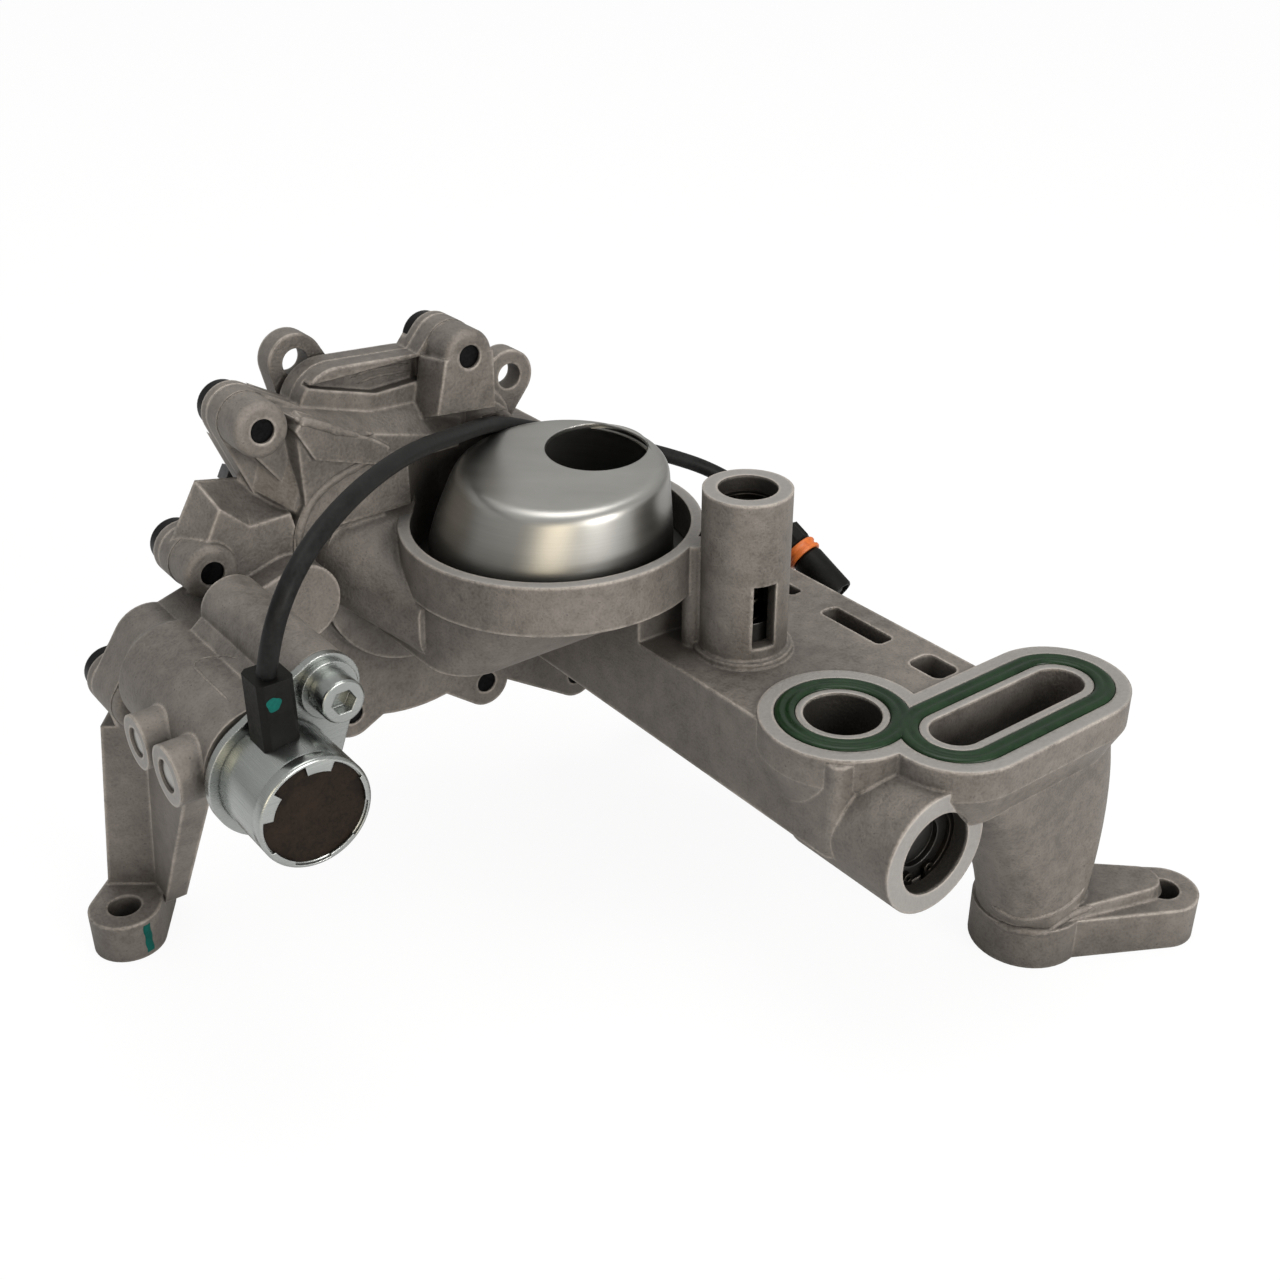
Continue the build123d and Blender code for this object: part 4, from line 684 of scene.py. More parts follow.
@dataclass
class PickupCap:
    """The pressed cap: a flanged cup with a soft shoulder, a tilted top and an offset hole."""

    centre: Point = (-44.0, 3.3, 91.4)
    sheet: float = 1.2
    flange_r: float = 35.2
    seat_bend: Place = (1.0, 1.6)
    back_x: float = -77.2
    base_r: float = 31.0
    upright_share: float = 0.22
    lean_power: float = 1.25
    wall_shares: Place = (0.04, 0.82)
    wall_rows: int = 14
    top_centre: Point = (-42.1, 5.9, 118.0)
    top_r: float = 26.5
    tilt: float = 3.0
    height: float = 26.0
    shoulder: float = 3.4
    shoulder_rows: int = 9
    top_rows: int = 6
    hole_centre: Place = (-44.0, 17.8)
    hole_r: float = 13.1
    segments: int = 160

    def top_point(self, x: float, y: float, drop: float) -> Vector:
        """A point on the tilted top.

        Args:
            x: its plan place.
            y: its plan place.
            drop: how far it lies under the outer side.

        Returns:
            The point, in metres.
        """
        slope = math.tan(math.radians(self.tilt))
        rise = slope * ((y - self.top_centre[1]) - (x - self.top_centre[0]))
        return Vector((x, y, self.top_centre[2] + rise - drop)) * MM

    def wall_row(self, share: float, inset: float) -> Row:
        """A row of the wall.

        Args:
            share: 0 at the base and 1 at the sharp corner under the top.
            inset: how far it lies inside the outer side.

        Returns:
            The row, in metres.
        """
        row = []
        for turn in turns(self.segments):
            foot = Vector(self.centre[:2]) + way(turn) * (self.base_r - inset)
            head = Vector(self.top_centre[:2]) + way(turn) * (self.top_r - 0.5 * inset)
            top = self.top_point(head.x, head.y, inset) / MM
            lean = max(0.0, (share - self.upright_share) / (1 - self.upright_share)) ** self.lean_power
            plan = foot.lerp(head, lean)
            low = self.centre[2] + self.sheet
            row.append(Vector((plan.x, plan.y, low + (top.z - low) * share)) * MM)
        return row

    def top_row(self, share: float, inset: float) -> Row:
        """A row across the top.

        Args:
            share: 0 at the rim and 1 at the hole.
            inset: how far it lies inside the outer side.

        Returns:
            The row, in metres.
        """
        row = []
        for turn in turns(self.segments):
            rim = Vector(self.top_centre[:2]) + way(turn) * (self.top_r - 0.5 * inset)
            plan = rim.lerp(Vector(self.hole_centre) + way(turn) * self.hole_r, share)
            row.append(self.top_point(plan.x, plan.y, inset))
        return row

    def flange_row(self, radius: float, height: float) -> Row:
        """A row of the flange, flattened at the back.

        Args:
            radius: its radius.
            height: its height over the flange's foot.

        Returns:
            The row, in metres.
        """
        row = []
        for turn in turns(self.segments):
            x = max(self.back_x, self.centre[0] + radius * math.cos(turn))
            row.append(Vector((x, self.centre[1] + radius * math.sin(turn), self.centre[2] + height)) * MM)
        return row

    def skin(self, inset: float) -> list[Row]:
        """One side of the sheet, from the flange's foot to the hole's edge.

        Args:
            inset: how far it lies inside the outer side.

        Returns:
            The rows, in metres.
        """
        low, high = self.wall_shares
        step = (high - low) / (self.wall_rows - 1)
        rows = [self.wall_row(low + step * i, inset) for i in range(self.wall_rows)]
        under = self.wall_row(1.0 - self.shoulder / self.height, inset)
        corner = self.wall_row(1.0, inset)
        inner = []
        for rim in self.top_row(0.0, inset):
            middle = Vector((self.top_centre[0] * MM, self.top_centre[1] * MM, rim.z))
            spot = rim.lerp(middle, self.shoulder / self.top_r)
            inner.append(self.top_point(spot.x / MM, spot.y / MM, inset))
        for i in range(self.shoulder_rows):
            t = i / (self.shoulder_rows - 1)
            rows.append([a.lerp(b, t).lerp(b.lerp(c, t), t) for a, b, c in zip(under, corner, inner)])
        hole = self.top_row(1.0, inset)
        for i in range(1, self.top_rows + 1):
            rows.append([a.lerp(b, i / self.top_rows) for a, b in zip(inner, hole)])
        return rows

    def build(self, material: bpy.types.Material) -> None:
        """Build the cap and let it stand for the plain one.

        Args:
            material: the cap's finish.
        """
        near, far = self.seat_bend
        wall_foot = self.wall_row(0.0, 0.0)
        bend = [a.lerp(b, 0.5) for a, b in zip(wall_foot, self.flange_row(self.base_r + near, self.sheet))]
        flange = [
            self.flange_row(self.base_r - 2 * self.sheet, 0.0), self.flange_row(self.flange_r, 0.0),
            self.flange_row(self.flange_r, self.sheet), self.flange_row(self.base_r + far, self.sheet), bend,
        ]
        rows = flange + self.skin(0.0) + self.skin(self.sheet)[::-1]
        mesh = rows_mesh("pickup_cap", rows, closed_stack=True)
        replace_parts(piece("pickup_cap", mesh, material, smooth_angle=50.0), "inlet_cap")


@dataclass
class PortSeal:
    """The moulded seal: a rounded bead round each port, run together where they meet."""

    round_centre: Place = (38.0, 28.4)
    round_r: float = 13.6
    slot_x: float = 59.2
    slot_front: float = 44.0
    slot_back: float = 79.7
    slot_r: float = 11.0
    half_width: float = 2.4
    groove: float = 0.32
    groove_width: float = 0.3
    crown: float = 1.25
    crown_power: float = 0.55
    bottom: float = 74.45
    top: float = 76.8
    section_steps: int = 18
    steps: int = 96

    def section(self) -> list[Place]:
        """The bead's section, with a lip on each side of its crown.

        Returns:
            Offsets across the bead and heights.
        """
        points = [(-self.half_width, self.bottom)]
        for step in range(self.section_steps + 1):
            turn = math.pi * step / self.section_steps
            across = -math.cos(turn)
            dip = self.groove * math.exp(-(across / self.groove_width) ** 2)
            lift = abs(math.sin(turn)) ** self.crown_power * (1 - dip)
            points.append((self.half_width * across, self.top - self.crown + self.crown * lift))
        return points + [(self.half_width, self.bottom)]

    def bead(self, name: str, radius: float, back: Place, front: Place) -> bpy.types.Mesh:
        """Sweep the section round one loop.

        Args:
            name: the mesh's name.
            radius: the loop's radius at its ends.
            back: the middle of its back half.
            front: the middle of its front half.

        Returns:
            The mesh.
        """
        rows = []
        section = self.section()
        for step, turn in enumerate(turns(self.steps)):
            side = way(turn)
            spot = Vector(back if step < self.steps // 2 else front) + side * radius
            rows.append([Vector((*(spot + side * across), height)) * MM for across, height in section])
        return rows_mesh(name, rows, closed_stack=True)

    def build(self, material: bpy.types.Material) -> None:
        """Build the seal and let it stand for the plain one.

        Args:
            material: the seal's finish.
        """
        back, front = (self.slot_x, self.slot_back), (self.slot_x, self.slot_front)
        beads = [
            self.bead("round_bead", self.round_r, self.round_centre, self.round_centre),
            self.bead("slot_bead", self.slot_r, back, front),
        ]
        mesh = join_meshes("port_seal", beads)
        shape = piece("port_seal", mesh, material, smooth_angle=60.0)
        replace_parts(shape, "port_gasket")


@dataclass
class SolenoidCan:
    """The zinc-plated can: a drawn tube, its rim crimped over the end cap by five tabs."""

    centre: Place = (-92.7, 84.7)
    back_x: float = -13.5
    front_x: float = 10.5
    radius: float = 12.7
    sheet: float = 1.2
    core_r: float = 5.6
    bend: float = 0.8
    bend_share: float = 0.3
    bend_turns: tuple[float, ...] = (0.0, 0.4, 0.8, 1.2, 1.5708)
    rolled_line: tuple[Place, ...] = ((3.4, 0.0), (3.1, 0.12), (2.8, 0.0))
    rim: float = 0.9
    lip_sheet: Place = (0.75, 0.78)
    tab_turns: tuple[Place, ...] = ((8.0, 1.5), (80.0, 3.1), (152.0, 3.1), (224.0, 1.6), (296.0, 1.5))
    tab_half: float = 15.5
    tab_corner: float = 0.35
    steps: int = 180

    def angles(self) -> list[float]:
        """Angles round the can, doubled at each side of a tab so that the sides stay sharp.

        Returns:
            The angles in order, in degrees.
        """
        found = [360.0 * step / self.steps for step in range(self.steps)]
        for turn, _ in self.tab_turns:
            for side in (-self.tab_half, self.tab_half):
                found += [(turn + side - self.tab_corner) % 360.0, (turn + side + self.tab_corner) % 360.0]
        return sorted(set(found))

    def lip(self, turn: float) -> float:
        """How far the lip reaches in.

        Args:
            turn: the angle, in degrees.

        Returns:
            The reach of the tab there, or that of the rim.
        """
        for middle, reach in self.tab_turns:
            if abs((turn - middle + 180.0) % 360.0 - 180.0) <= self.tab_half:
                return reach
        return self.rim

    def ring(self, x: float, inset: float, lipped: bool = False) -> Row:
        """A row round the can.

        Args:
            x: its place along the can.
            inset: how far it lies inside the can's radius.
            lipped: whether the lip's reach takes the inset's place.

        Returns:
            The row, in metres.
        """
        y, z = self.centre
        row = []
        for turn in self.angles():
            r = self.radius - (self.lip(turn) if lipped else inset)
            side = math.radians(turn)
            row.append(Vector((x, y + r * math.cos(side), z + r * math.sin(side))) * MM)
        return row

    def build(self, material: bpy.types.Material) -> None:
        """Build the can and let it stand for the plain one.

        Args:
            material: the can's finish.
        """
        back, front, bend = self.back_x, self.front_x, self.bend
        base, part = self.radius - self.core_r, self.bend_share * bend
        rows = [self.ring(back + self.sheet, base), self.ring(back, base), self.ring(back, bend)]
        rows += [self.ring(back + part, part), self.ring(back + bend, 0.0)]
        rows += [self.ring(front - drop, depth) for drop, depth in self.rolled_line]
        for turn in self.bend_turns:
            rows.append(self.ring(front - bend + bend * math.sin(turn), bend - bend * math.cos(turn)))
        rows += [self.ring(front, 0.0, True), self.ring(front - self.lip_sheet[0], 0.0, True)]
        rows += [self.ring(front - self.lip_sheet[1], self.sheet), self.ring(back + self.sheet, self.sheet)]
        mesh = rows_mesh("solenoid_shell", rows, closed_stack=True)
        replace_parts(piece("solenoid_shell", mesh, material, smooth_angle=32.0), "solenoid_can")


CABLE_ROUTE: tuple[Point, ...] = (
    (-1.5, -94.5, 112.7), (1.6, -94.0, 122.0), (0.8, -89.2, 131.0), (-4.8, -80.3, 136.0),
    (-13.8, -67.8, 138.0), (-24.5, -53.5, 137.5), (-38.0, -36.5, 134.0), (-51.0, -19.5, 128.5),
    (-62.0, -5.5, 124.0), (-70.3, 6.0, 119.5), (-72.6, 20.0, 113.5), (-71.0, 36.0, 107.5),
    (-68.5, 49.0, 102.5), (-66.0, 60.5, 97.5), (-62.5, 70.5, 92.5), (-55.5, 77.8, 87.0), (-45.4, 79.4, 80.9),
)


@dataclass
class SolenoidCable:
    """The sheathed cable, on one smooth line."""

    points: tuple[Point, ...] = CABLE_ROUTE
    diameter: float = 4.2
    length: float = 235.6

    def build(self, material: bpy.types.Material, on_it: list[bpy.types.Object]) -> None:
        """Args:
            material: the sheath's finish.
            on_it: the pieces at its far end; not used.
        """
        line = bpy.data.curves.new("cable_run", "CURVE")
        line.dimensions = "3D"
        spline = line.splines.new("NURBS")
        spline.points.add(len(self.points) - 1)
        for point, place in zip(spline.points, self.points):
            point.co = (*(Vector(place) * MM), 1.0)
        spline.order_u = 3
        spline.use_endpoint_u = True
        line.bevel_depth = 0.5 * self.diameter * MM
        line.bevel_resolution = 8
        line.resolution_u = 16
        line.use_fill_caps = True
        line.materials.append(material)
        cable = link("cable_run", line)
        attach(cable, Body.HOUSING.value)
        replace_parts(cable, "solenoid_cable")
        LOG.info("built cable_run")


@dataclass
class CableConnector:
    """The round plug at the cable's end: ribbed grip, collar, keyed mouth and its seal."""

    start: Point = CABLE_ROUTE[-1]
    before: Point = CABLE_ROUTE[-2]
    segments: int = 72
    profile: tuple[Place, ...] = (
        (0.0, 1.6), (0.0, 2.9), (0.5, 3.3), (5.4, 3.6), (6.0, 4.2), (6.4, 4.6), (11.4, 4.6), (11.8, 4.3),
        (12.2, 4.1), (15.8, 4.1), (16.2, 4.4), (16.8, 4.6), (29.3, 4.6), (29.8, 4.3), (29.9, 3.7),
        (29.4, 3.5), (22.3, 3.5), (22.0, 3.2), (22.0, 2.1), (29.2, 2.0), (29.5, 1.7), (29.5, 0.02),
    )
    grip: Place = (6.4, 11.4)
    rib_depth: float = 0.35
    rib_count: int = 12
    seal_profile: tuple[Place, ...] = (
        (12.3, 4.15), (12.3, 4.9), (12.7, 5.2), (13.2, 5.2), (13.6, 4.8), (14.0, 4.7), (14.4, 4.8),
        (14.8, 5.2), (15.3, 5.2), (15.7, 4.9), (15.7, 4.15),
    )

    def row(self, reach: float, radius: float, ribs: float = 0.0) -> Row:
        """A row round the plug's axis.

        Args:
            reach: its place along the axis.
            radius: its radius.
            ribs: height of the shallow grip ribs on it.

        Returns:
            The row, in metres.
        """
        along = (Vector(self.start) - Vector(self.before)).normalized()
        across = along.cross(Vector((0, 0, 1))).normalized()
        up = along.cross(across)
        row = []
        for turn in turns(self.segments):
            r = radius + ribs * max(0.0, math.cos(self.rib_count * turn))
            side = across * r * math.cos(turn)
            row.append((Vector(self.start) + along * reach + side + up * r * math.sin(turn)) * MM)
        return row

    def build(self, black: bpy.types.Material, orange: bpy.types.Material) -> list[bpy.types.Object]:
        """Build the plug and its seal, and let them stand for the plain ones.

        Args:
            black: the plug's finish.
            orange: the seal's finish.

        Returns:
            The plug and its seal.
        """
        rows = []
        for reach, r in self.profile:
            rows.append(self.row(reach, r, self.rib_depth if reach in self.grip else 0.0))
        plug = piece("ribbed_connector", rows_mesh("ribbed_connector", rows), black)
        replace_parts(plug, "cable_connector")
        rows = [self.row(reach, r) for reach, r in self.seal_profile]
        mesh = rows_mesh("lipped_seal", rows, closed_stack=True)
        seal = piece("lipped_seal", mesh, orange, smooth_angle=50.0)
        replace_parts(seal, "connector_seal")
        return [plug, seal]


@dataclass(frozen=True)
class CoilSpring:
    """A round-wire compression spring with closed ends."""

    name: str
    node: str
    joint: str
    start: Point
    along: Point
    length: float
    mean_r: float
    wire: float
    turns: int
    stroke: float
    end_turn: float = 0.75
    end_rise: float = 0.22
    end_point: float = 0.02
    steps: int = 28
    around: int = 12

    def rise(self, share: float) -> float:
        """Height of the wire's middle, with a nearly flat closed turn at each end.

        Args:
            share: 0 at the wire's start and 1 at its end.

        Returns:
            The height.
        """
        closed = self.end_turn / self.turns
        free = min(1.0, max(0.0, (share - closed) / (1.0 - 2 * closed)))
        flat = 0.5 * self.wire
        ends = (min(share, closed) + max(0.0, share - 1.0 + closed)) / closed * self.end_rise * self.wire
        return flat + ends + free * (self.length - 2 * flat - 2 * self.end_rise * self.wire)

    def end(self, row: Row) -> Row:
        """A tiny loop that closes the wire's end."""
        centre = sum(row, Vector()) / self.around
        return [centre.lerp(point, self.end_point) for point in row]

    def build(self, material: bpy.types.Material) -> None:
        """Build the spring and let it stand for the plain one.

        Args:
            material: the wire's finish.
        """
        along = Vector(self.along)
        across = Vector((0, 1, 0))
        up = along.cross(across)
        count = self.turns * self.steps
        centres = []
        for step in range(count + 1):
            turn = 2 * math.pi * step / self.steps
            side = across * math.cos(turn) + up * math.sin(turn)
            centres.append((Vector(self.start) + along * self.rise(step / count) + side * self.mean_r, side))
        rows = []
        for i, (middle, side) in enumerate(centres):
            ahead = (centres[min(i + 1, count)][0] - centres[max(i - 1, 0)][0]).normalized()
            over = ahead.cross(side).normalized()
            rows.append([(middle + (side * math.cos(turn) + over * math.sin(turn)) * 0.5 * self.wire) * MM
                         for turn in turns(self.around)])
        mesh = rows_mesh(self.name, [self.end(rows[0])] + rows + [self.end(rows[-1])])
        shape = piece(self.name, mesh, material, smooth_angle=50.0)
        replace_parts(shape, self.node)
        seat = Vector(self.start) + along * self.length
        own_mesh(shape)


SPRINGS = (
    CoilSpring("relief_coil", "relief_spring", "relief_lift", start=(-2.0, 32.0, 73.05), along=(0, 0, 1),
               length=35.9, mean_r=4.15, wire=1.6, turns=8, stroke=8.0),
    CoilSpring("check_coil", "check_spring", "check_lift", start=(43.55, 28.0, 55.0), along=(1, 0, 0),
               length=17.4, mean_r=6.9, wire=1.4, turns=5, stroke=5.0),
    CoilSpring("ring_coil", "control_spring", "ring_swing", start=(-88.5, 17.5, 88.8), along=(0, 0, 1),
               length=16.4, mean_r=4.1, wire=1.8, turns=5, stroke=4.95),
)


@dataclass
class PlugCaps:
    """The pressed plugs in the two cross bosses, domed and slightly uneven, just inside the mouth."""

    places: tuple[Place, ...] = ((-37.0, 3.5), (-20.8, 3.83))
    height: float = 84.7
    face_y: float = -111.15
    back_y: float = -107.3
    dome: float = 0.45
    dome_shares: tuple[float, ...] = (0.96, 0.9, 0.8, 0.65, 0.45, 0.25, 0.005)
    back_share: float = 0.02
    dent: float = 0.22
    segments: int = 64

    def rows(self, x: float, radius: float) -> list[Row]:
        """One plug, from its back to the crown of its dome.

        Args:
            x: the plug's middle.
            radius: its radius.

        Returns:
            The rows, in metres.
        """
        stack = [(self.back_y, self.back_share), (self.back_y, radius), (self.face_y + self.dome, radius)]
        stack += [(self.face_y + self.dome * share ** 2, radius * share) for share in self.dome_shares]
        rows = []
        for y, r in stack:
            row = []
            for turn in turns(self.segments):
                uneven = self.dent * math.sin(2 * turn + x) * (r / radius) * (1 - r / radius)
                deep = y + (uneven if y < self.back_y else 0.0)
                row.append(Vector((x + r * math.cos(turn), deep, self.height + r * math.sin(turn))) * MM)
            rows.append(row)
        return rows

    def build(self, material: bpy.types.Material) -> None:
        """Build both plugs and let them stand for the plain ones.

        Args:
            material: the plugs' finish.
        """
        meshes = [rows_mesh(f"plug_{i}", self.rows(x, radius)) for i, (x, radius) in enumerate(self.places)]
        shape = piece("domed_plugs", join_meshes("domed_plugs", meshes), material, smooth_angle=40.0)
        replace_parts(shape, "passage_plugs")


@dataclass(frozen=True)
class Ridge:
    """One raised line of the casting: its half width and a few points near the surface."""

    name: str
    half: float
    points: tuple[Point, ...]


RIDGES = (
    Ridge("tunnel_ridge", 1.0, (
        (-67, -55.7, 102.3), (-67, -53.7, 108.8), (-67, -50.1, 114.2), (-67, -44.6, 117.7),
        (-67, -37.2, 119.8), (-67, -27.8, 120.3), (-67, -18.3, 119.1))),
    Ridge("curved_ledge", 0.9, (
        (-66.5, -53.0, 135.9), (-65.5, -50.5, 135.1), (-65.5, -44.5, 131.9), (-66.4, -37.9, 129.0),
        (-67.1, -32.2, 127.0))),
    Ridge("shelf_bead_upper", 0.35, (
        (-77.2, -32.4, 138.2), (-77.2, -27.0, 139.1), (-77.2, -21.0, 138.8), (-77.2, -14.9, 138.5))),
    Ridge("shelf_bead_lower", 0.35, (
        (-77.2, -30.6, 136.4), (-77.2, -25.9, 137.2), (-77.2, -20.5, 137.0), (-77.2, -14.8, 136.5))),
    Ridge("barrel_parting", 0.22, (
        (-31.8, -87.6, 99.5), (-37.8, -89.0, 98.3), (-39.5, -92.2, 98.1), (-38.7, -95.4, 97.8),
        (-33.3, -95.9, 97.7), (-26.2, -95.9, 97.7), (-19.1, -95.8, 97.7))),
    Ridge("neck_lip", 0.9, (
        (61.6, 64.5, 11.4), (65.3, 65.3, 11.0), (70.1, 68.2, 11.6), (73.2, 74.6, 12.4),
        (73.9, 81.8, 13.9), (75.4, 86.5, 14.3))),
    Ridge("neck_lip_upper", 0.7, (
        (60.0, 64.4, 15.8), (63.2, 64.8, 15.4), (67.2, 66.5, 14.8), (72.1, 71.6, 16.6),
        (73.2, 80.2, 18.0), (72.9, 84.7, 20.0))),
)


@dataclass
class CastRidges:
    """Raised lines of the casting, laid on the housing's surface and run out at their ends."""

    ridges: tuple[Ridge, ...] = RIDGES
    steps: int = 10
    around: int = 12
    sink: float = 0.45
    spread: float = 1.3
    run_out: int = 6
    end_size: float = 0.05
    evened: int = 3

    def line(self, points: tuple[Point, ...]) -> Row:
        """A smooth line through the points.

        Args:
            points: the points, in order.

        Returns:
            Points close together along the line.
        """
        spots = [Vector(point) for point in points]
        spots = [2 * spots[0] - spots[1]] + spots + [2 * spots[-1] - spots[-2]]
        line = []
        for a, b, c, d in zip(spots, spots[1:], spots[2:], spots[3:]):
            bow, twist = 2 * a - 5 * b + 4 * c - d, 3 * b - a - 3 * c + d
            for step in range(self.steps):
                t = step / self.steps
                line.append(0.5 * (2 * b + (c - a) * t + bow * t ** 2 + twist * t ** 3))
        return line + [spots[-2]]

    def rows(self, ridge: Ridge) -> list[Row]:
        """Loops along one ridge, sunk in the housing's surface.

        Args:
            ridge: the ridge.

        Returns:
            The rows, in metres.
        """
        housing = frame["nodes"]["pump_housing"]
        found = [housing.closest_point_on_mesh(spot * MM) for spot in self.line(ridge.points)]
        spots = [place / MM for _, place, _, _ in found]
        normals = [normal for _, _, normal, _ in found]
        last = len(spots) - 1
        rows = []
        for i, spot in enumerate(spots):
            ahead = (spots[min(i + 1, last)] - spots[max(i - 1, 0)]).normalized()
            up = sum(normals[max(0, i - self.evened):i + self.evened + 1], Vector()).normalized()
            side = ahead.cross(up).normalized()
            size = ridge.half * min(1.0, self.end_size + min(i, last - i) / self.run_out)
            middle = spot - up * size * self.sink
            rows.append([(middle + (up * math.cos(turn) + side * self.spread * math.sin(turn)) * size) * MM
                         for turn in turns(self.around)])
        return rows

    def build(self, material: bpy.types.Material) -> None:
        """Build every ridge."""
        for ridge in self.ridges:
            piece(ridge.name, rows_mesh(ridge.name, self.rows(ridge)), material, smooth_angle=80.0)


@dataclass
class PaintMarks:
    """Small paint marks: a dot on the lead block and a stripe on the front foot."""

    film: float = 0.06
    dot_centre: Point = (1.95, -95.2, 107.4)
    dot_r: float = 1.6
    dot_rings: int = 3
    dot_steps: int = 24
    dot_uneven: Place = (0.09, 0.06)
    dot_turn: float = 0.7
    foot_centre: Place = (-80.0, -109.0)
    foot_r: float = 9.3
    outside: float = 30.0
    stripe_turns: Place = (6.0, 19.0)
    stripe_heights: Place = (1.2, 9.6)
    stripe_steps: int = 8
    waver: float = 0.9
    waver_pace: float = 1.7

    def stripe_point(self, level: int, step: int, lift: float) -> Vector:
        """A point of the stripe on the foot's side.

        Args:
            level: its step up the stripe.
            step: its step across the stripe.
            lift: how far it stands off the foot.

        Returns:
            The point, in metres.
        """
        low, high = self.stripe_heights
        left, right = self.stripe_turns
        uneven = self.waver * math.sin(self.waver_pace * level) if step in (0, self.stripe_steps) else 0.0
        side = Vector((*way(math.radians(left + (right - left) * step / self.stripe_steps + uneven)), 0.0))
        z = low + (high - low) * level / self.stripe_steps
        start = Vector((*self.foot_centre, z)) + side * self.outside
        hit, spot, normal, _ = frame["nodes"]["pump_housing"].ray_cast(start * MM, -side)
        if not hit:
            spot = (start - side * (self.outside - self.foot_r)) * MM
        return spot + normal * lift * MM

    def stripe(self, teal: bpy.types.Material) -> None:
        """Build the stripe as a thin skin laid on the foot's side.

        Args:
            teal: the paint's finish.
        """
        grid = range(self.stripe_steps + 1)
        over, under = ([[self.stripe_point(level, step, lift) for step in grid] for level in grid]
                       for lift in (self.film, 0.0))
        loops = [a + b[::-1] for a, b in zip(over, under)]
        piece("paint_stripe", rows_mesh("paint_stripe", loops), teal, smooth_angle=60.0)

    def dot(self, teal: bpy.types.Material) -> None:
        """Build the dot as a thin uneven disc on the block's face.

        Args:
            teal: the paint's finish.
        """
        x, y, z = self.dot_centre
        three, five = self.dot_uneven
        rows = []
        for share in (ring / self.dot_rings for ring in range(self.dot_rings + 1)):
            row = []
            for turn in turns(self.dot_steps):
                uneven = three * math.sin(3 * turn + self.dot_turn) + five * math.sin(5 * turn)
                r = self.dot_r * (1 + uneven) * share
                lift = self.film * (1 - share ** 4)
                row.append(Vector((x + lift, y + r * math.cos(turn), z + r * math.sin(turn))) * MM)
            rows.append(row)
        piece("paint_dot", rows_mesh("paint_dot", rows), teal, smooth_angle=80.0)

    def build(self, teal: bpy.types.Material) -> None:
        """Build both marks."""
        self.stripe(teal)
        self.dot(teal)


# Studio


@dataclass(frozen=True)
class Lamp:
    """A soft square lamp: where it stands, its side, its power in watts and its colour."""

    name: str
    place: Point
    size: float
    energy: float
    colour: Colour


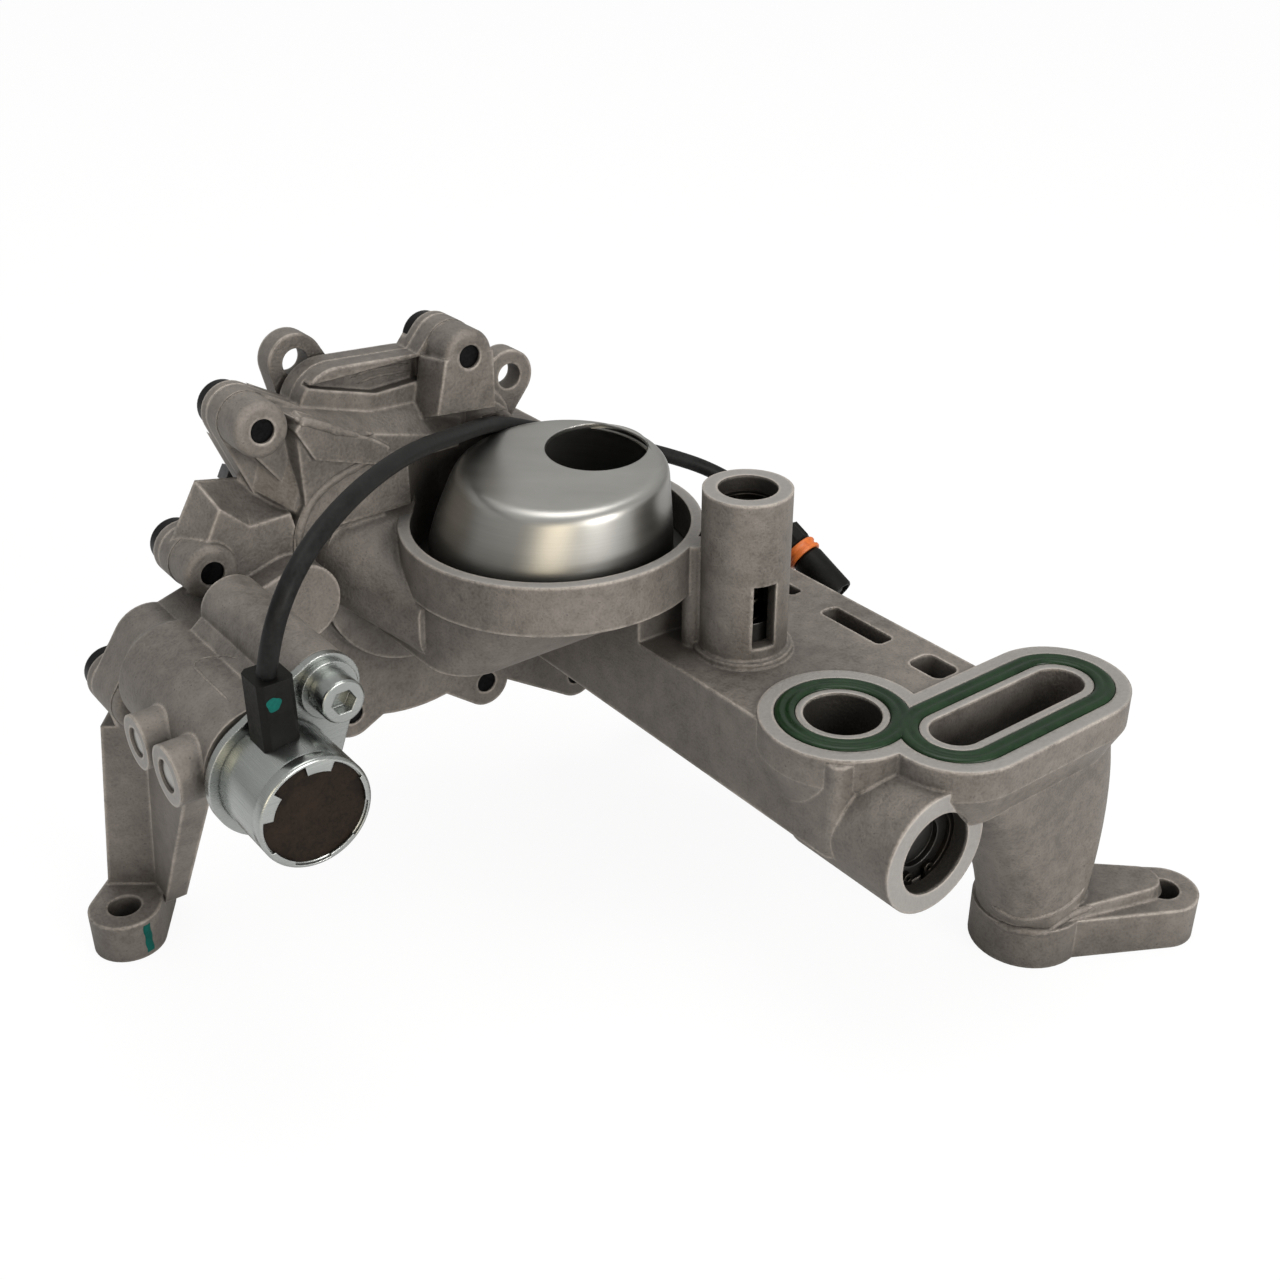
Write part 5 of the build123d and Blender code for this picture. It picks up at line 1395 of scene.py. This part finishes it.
@dataclass
class Studio:
    """Floor, lights and the camera at the photograph's angle. Its places are in metres."""

    place: Point = (0.2605, -0.202, 0.275)
    azimuth: float = 52.5
    pitch: float = 29.5
    lens: float = 45.0
    sensor: float = 36.0
    nearest: float = 0.01
    floor_size: float = 8.0
    floor_drop: float = 0.0001
    floor_grey: float = 0.8
    floor_glow: float = 1.06
    floor_seen: float = 0.86
    world_level: float = 0.58
    dim: Colour = (0.36, 0.36, 0.35)
    bright: Colour = (0.62, 0.62, 0.61)
    full_rise: float = 0.85
    rise_share: float = 0.7
    patch_scale: float = 2.2
    patch_range: Place = (0.35, 0.65)
    patch_share: float = 0.3
    card: Colour = (3.3, 2.9, 2.25)
    card_way: Point = (0.78, -0.60, 0.18)
    card_edge: Place = (0.945, 0.99)
    aim: Point = (0.0, 0.0, 0.07)
    lamps: tuple[Lamp, ...] = (
        Lamp("key", (-0.1, 0.1, 1.3), 0.7, 4.7, (1.0, 0.985, 0.965)),
        Lamp("side", (0.95, 0.1, 0.45), 0.5, 5.2, (1.0, 0.975, 0.945)),
    )

    def camera(self) -> None:
        """Create the camera and make it the scene's."""
        data = bpy.data.cameras.new("view")
        data.lens = self.lens
        data.sensor_width = self.sensor
        data.clip_start = self.nearest
        camera = link("view", data)
        turn, drop = math.radians(self.azimuth), math.radians(self.pitch)
        look = Vector((-math.sin(turn) * math.cos(drop), math.cos(turn) * math.cos(drop), -math.sin(drop)))
        camera.location = self.place
        camera.rotation_euler = look.to_track_quat("-Z", "Y").to_euler()
        bpy.context.scene.camera = camera

    def seen_mask(self, graph: Graph) -> bpy.types.NodeSocket:
        """Socket that is 1 for camera and transmission rays."""
        path = graph.add("ShaderNodeLightPath")
        return graph.math("ADD", path.outputs["Is Camera Ray"], path.outputs["Is Transmission Ray"], True)

    def reflected(self, graph: Graph) -> bpy.types.NodeSocket:
        """The studio that metal reflects: dim at the horizon, brighter above, with one warm card.

        Args:
            graph: the world's graph.

        Returns:
            Socket with its colour, by the direction in the room.
        """
        ray = graph.add("ShaderNodeTexCoord").outputs["Generated"]
        rise = graph.add("ShaderNodeSeparateXYZ", {0: ray}).outputs[2]
        high = graph.add("ShaderNodeMapRange", {"Value": rise, "From Min": 0.0, "From Max": self.full_rise})
        patches = graph.noise(ray, self.patch_scale, 1.0)
        low, full = self.patch_range
        spread = graph.add("ShaderNodeMapRange", {"Value": patches, "From Min": low, "From Max": full})
        level = graph.blend(high.outputs[0], self.rise_share, spread.outputs[0], self.patch_share)
        sky = graph.mix(level, self.dim, self.bright)
        toward = graph.add("ShaderNodeVectorMath", {0: ray, 1: self.card_way}, operation="DOT_PRODUCT")
        low, full = self.card_edge
        ramp = {"Value": toward.outputs["Value"], "From Min": low, "From Max": full}
        card = graph.add("ShaderNodeMapRange", ramp, interpolation_type="SMOOTHSTEP")
        return graph.mix(card.outputs[0], sky, self.card)

    def floor(self) -> None:
        """Lay a pale floor that keeps the object's shadow."""
        half = self.floor_size / 2
        mesh = bpy.data.meshes.new("floor")
        corners = [(-half, -half, 0), (half, -half, 0), (half, half, 0), (-half, half, 0)]
        mesh.from_pydata(corners, [], [(0, 1, 2, 3)])
        floor = link("floor", mesh)
        floor.location.z = -self.floor_drop
        material = bpy.data.materials.new("pale_floor")
        material.use_nodes = True
        graph = Graph(material.node_tree)
        matte = material.node_tree.nodes["Principled BSDF"]
        matte.inputs["Base Color"].default_value = (self.floor_grey,) * 3 + (1,)
        matte.inputs["Roughness"].default_value = 0.9
        matte.inputs["Specular IOR Level"].default_value = 0.0
        glow = graph.add("ShaderNodeEmission", {"Color": (1, 1, 1, 1), "Strength": self.floor_glow})
        seen = graph.math("MULTIPLY", self.seen_mask(graph), self.floor_seen)
        mixed = graph.add("ShaderNodeMixShader", {0: seen, 1: matte.outputs[0], 2: glow.outputs[0]})
        graph.feed(material.node_tree.nodes["Material Output"].inputs[0], mixed.outputs[0])
        mesh.materials.append(material)

    def world(self) -> None:
        """Give the scene a white surround, and gloss its own studio to reflect."""
        world = bpy.data.worlds.new("surround")
        bpy.context.scene.world = world
        world.use_nodes = True
        graph = Graph(world.node_tree)
        glossy = graph.add("ShaderNodeLightPath").outputs["Is Glossy Ray"]
        around = graph.mix(self.seen_mask(graph), (self.world_level,) * 3, (1.0, 1.0, 1.0))
        back = world.node_tree.nodes["Background"]
        graph.feed(back.inputs["Color"], graph.mix(glossy, around, self.reflected(graph)))

    def hang(self, lamp: Lamp) -> None:
        """Add a lamp that looks at the object's middle.

        Args:
            lamp: the lamp.
        """
        data = bpy.data.lights.new(lamp.name, "AREA")
        data.size = lamp.size
        data.energy = lamp.energy
        data.color = lamp.colour
        shape = link(lamp.name, data)
        shape.location = lamp.place
        look = Vector(self.aim) - Vector(lamp.place)
        shape.rotation_euler = look.to_track_quat("-Z", "Y").to_euler()

    def build(self) -> None:
        """Set the studio up."""
        self.camera()
        self.floor()
        self.world()
        for lamp in self.lamps:
            self.hang(lamp)
        bpy.context.scene.view_settings.view_transform = "Standard"


@dataclass
class NodeDresser:
    """Gives every CAD node its finish."""

    materials: dict[str, bpy.types.Material]

    def dress(self) -> None:
        """Assign the finishes by the record's slots."""
        slots = {entry["node"]: entry["material_slot"] for entry in frame["record"]["subparts"]}
        for name, shape in frame["nodes"].items():
            shape.data.materials.clear()
            shape.data.materials.append(self.materials[slots[name]])
        LOG.info("dressed %d CAD nodes", len(frame["nodes"]))


def main() -> None:
    """Build the studio, the finishes and every piece."""
    logging.basicConfig(level=logging.INFO)
    Studio().build()
    groups = Groups()
    materials = FinishBook().build(groups)
    teal = TEAL_PAINT.build(groups)
    NodeDresser(materials).dress()
    on_cable = CableConnector().build(materials["black_plastic"], materials["orange_seal"])
    SolenoidCable().build(materials["black_rubber"], on_cable)
    PickupCap().build(materials["steel"])
    PortSeal().build(materials["gasket_green"])
    SolenoidCan().build(materials["zinc"])
    PlugCaps().build(materials["steel"])
    for spring in SPRINGS:
        spring.build(materials["spring_steel"])
    CastRidges().build(materials["cast"])
    PaintMarks().build(teal)


if __name__ == "__main__":
    main()
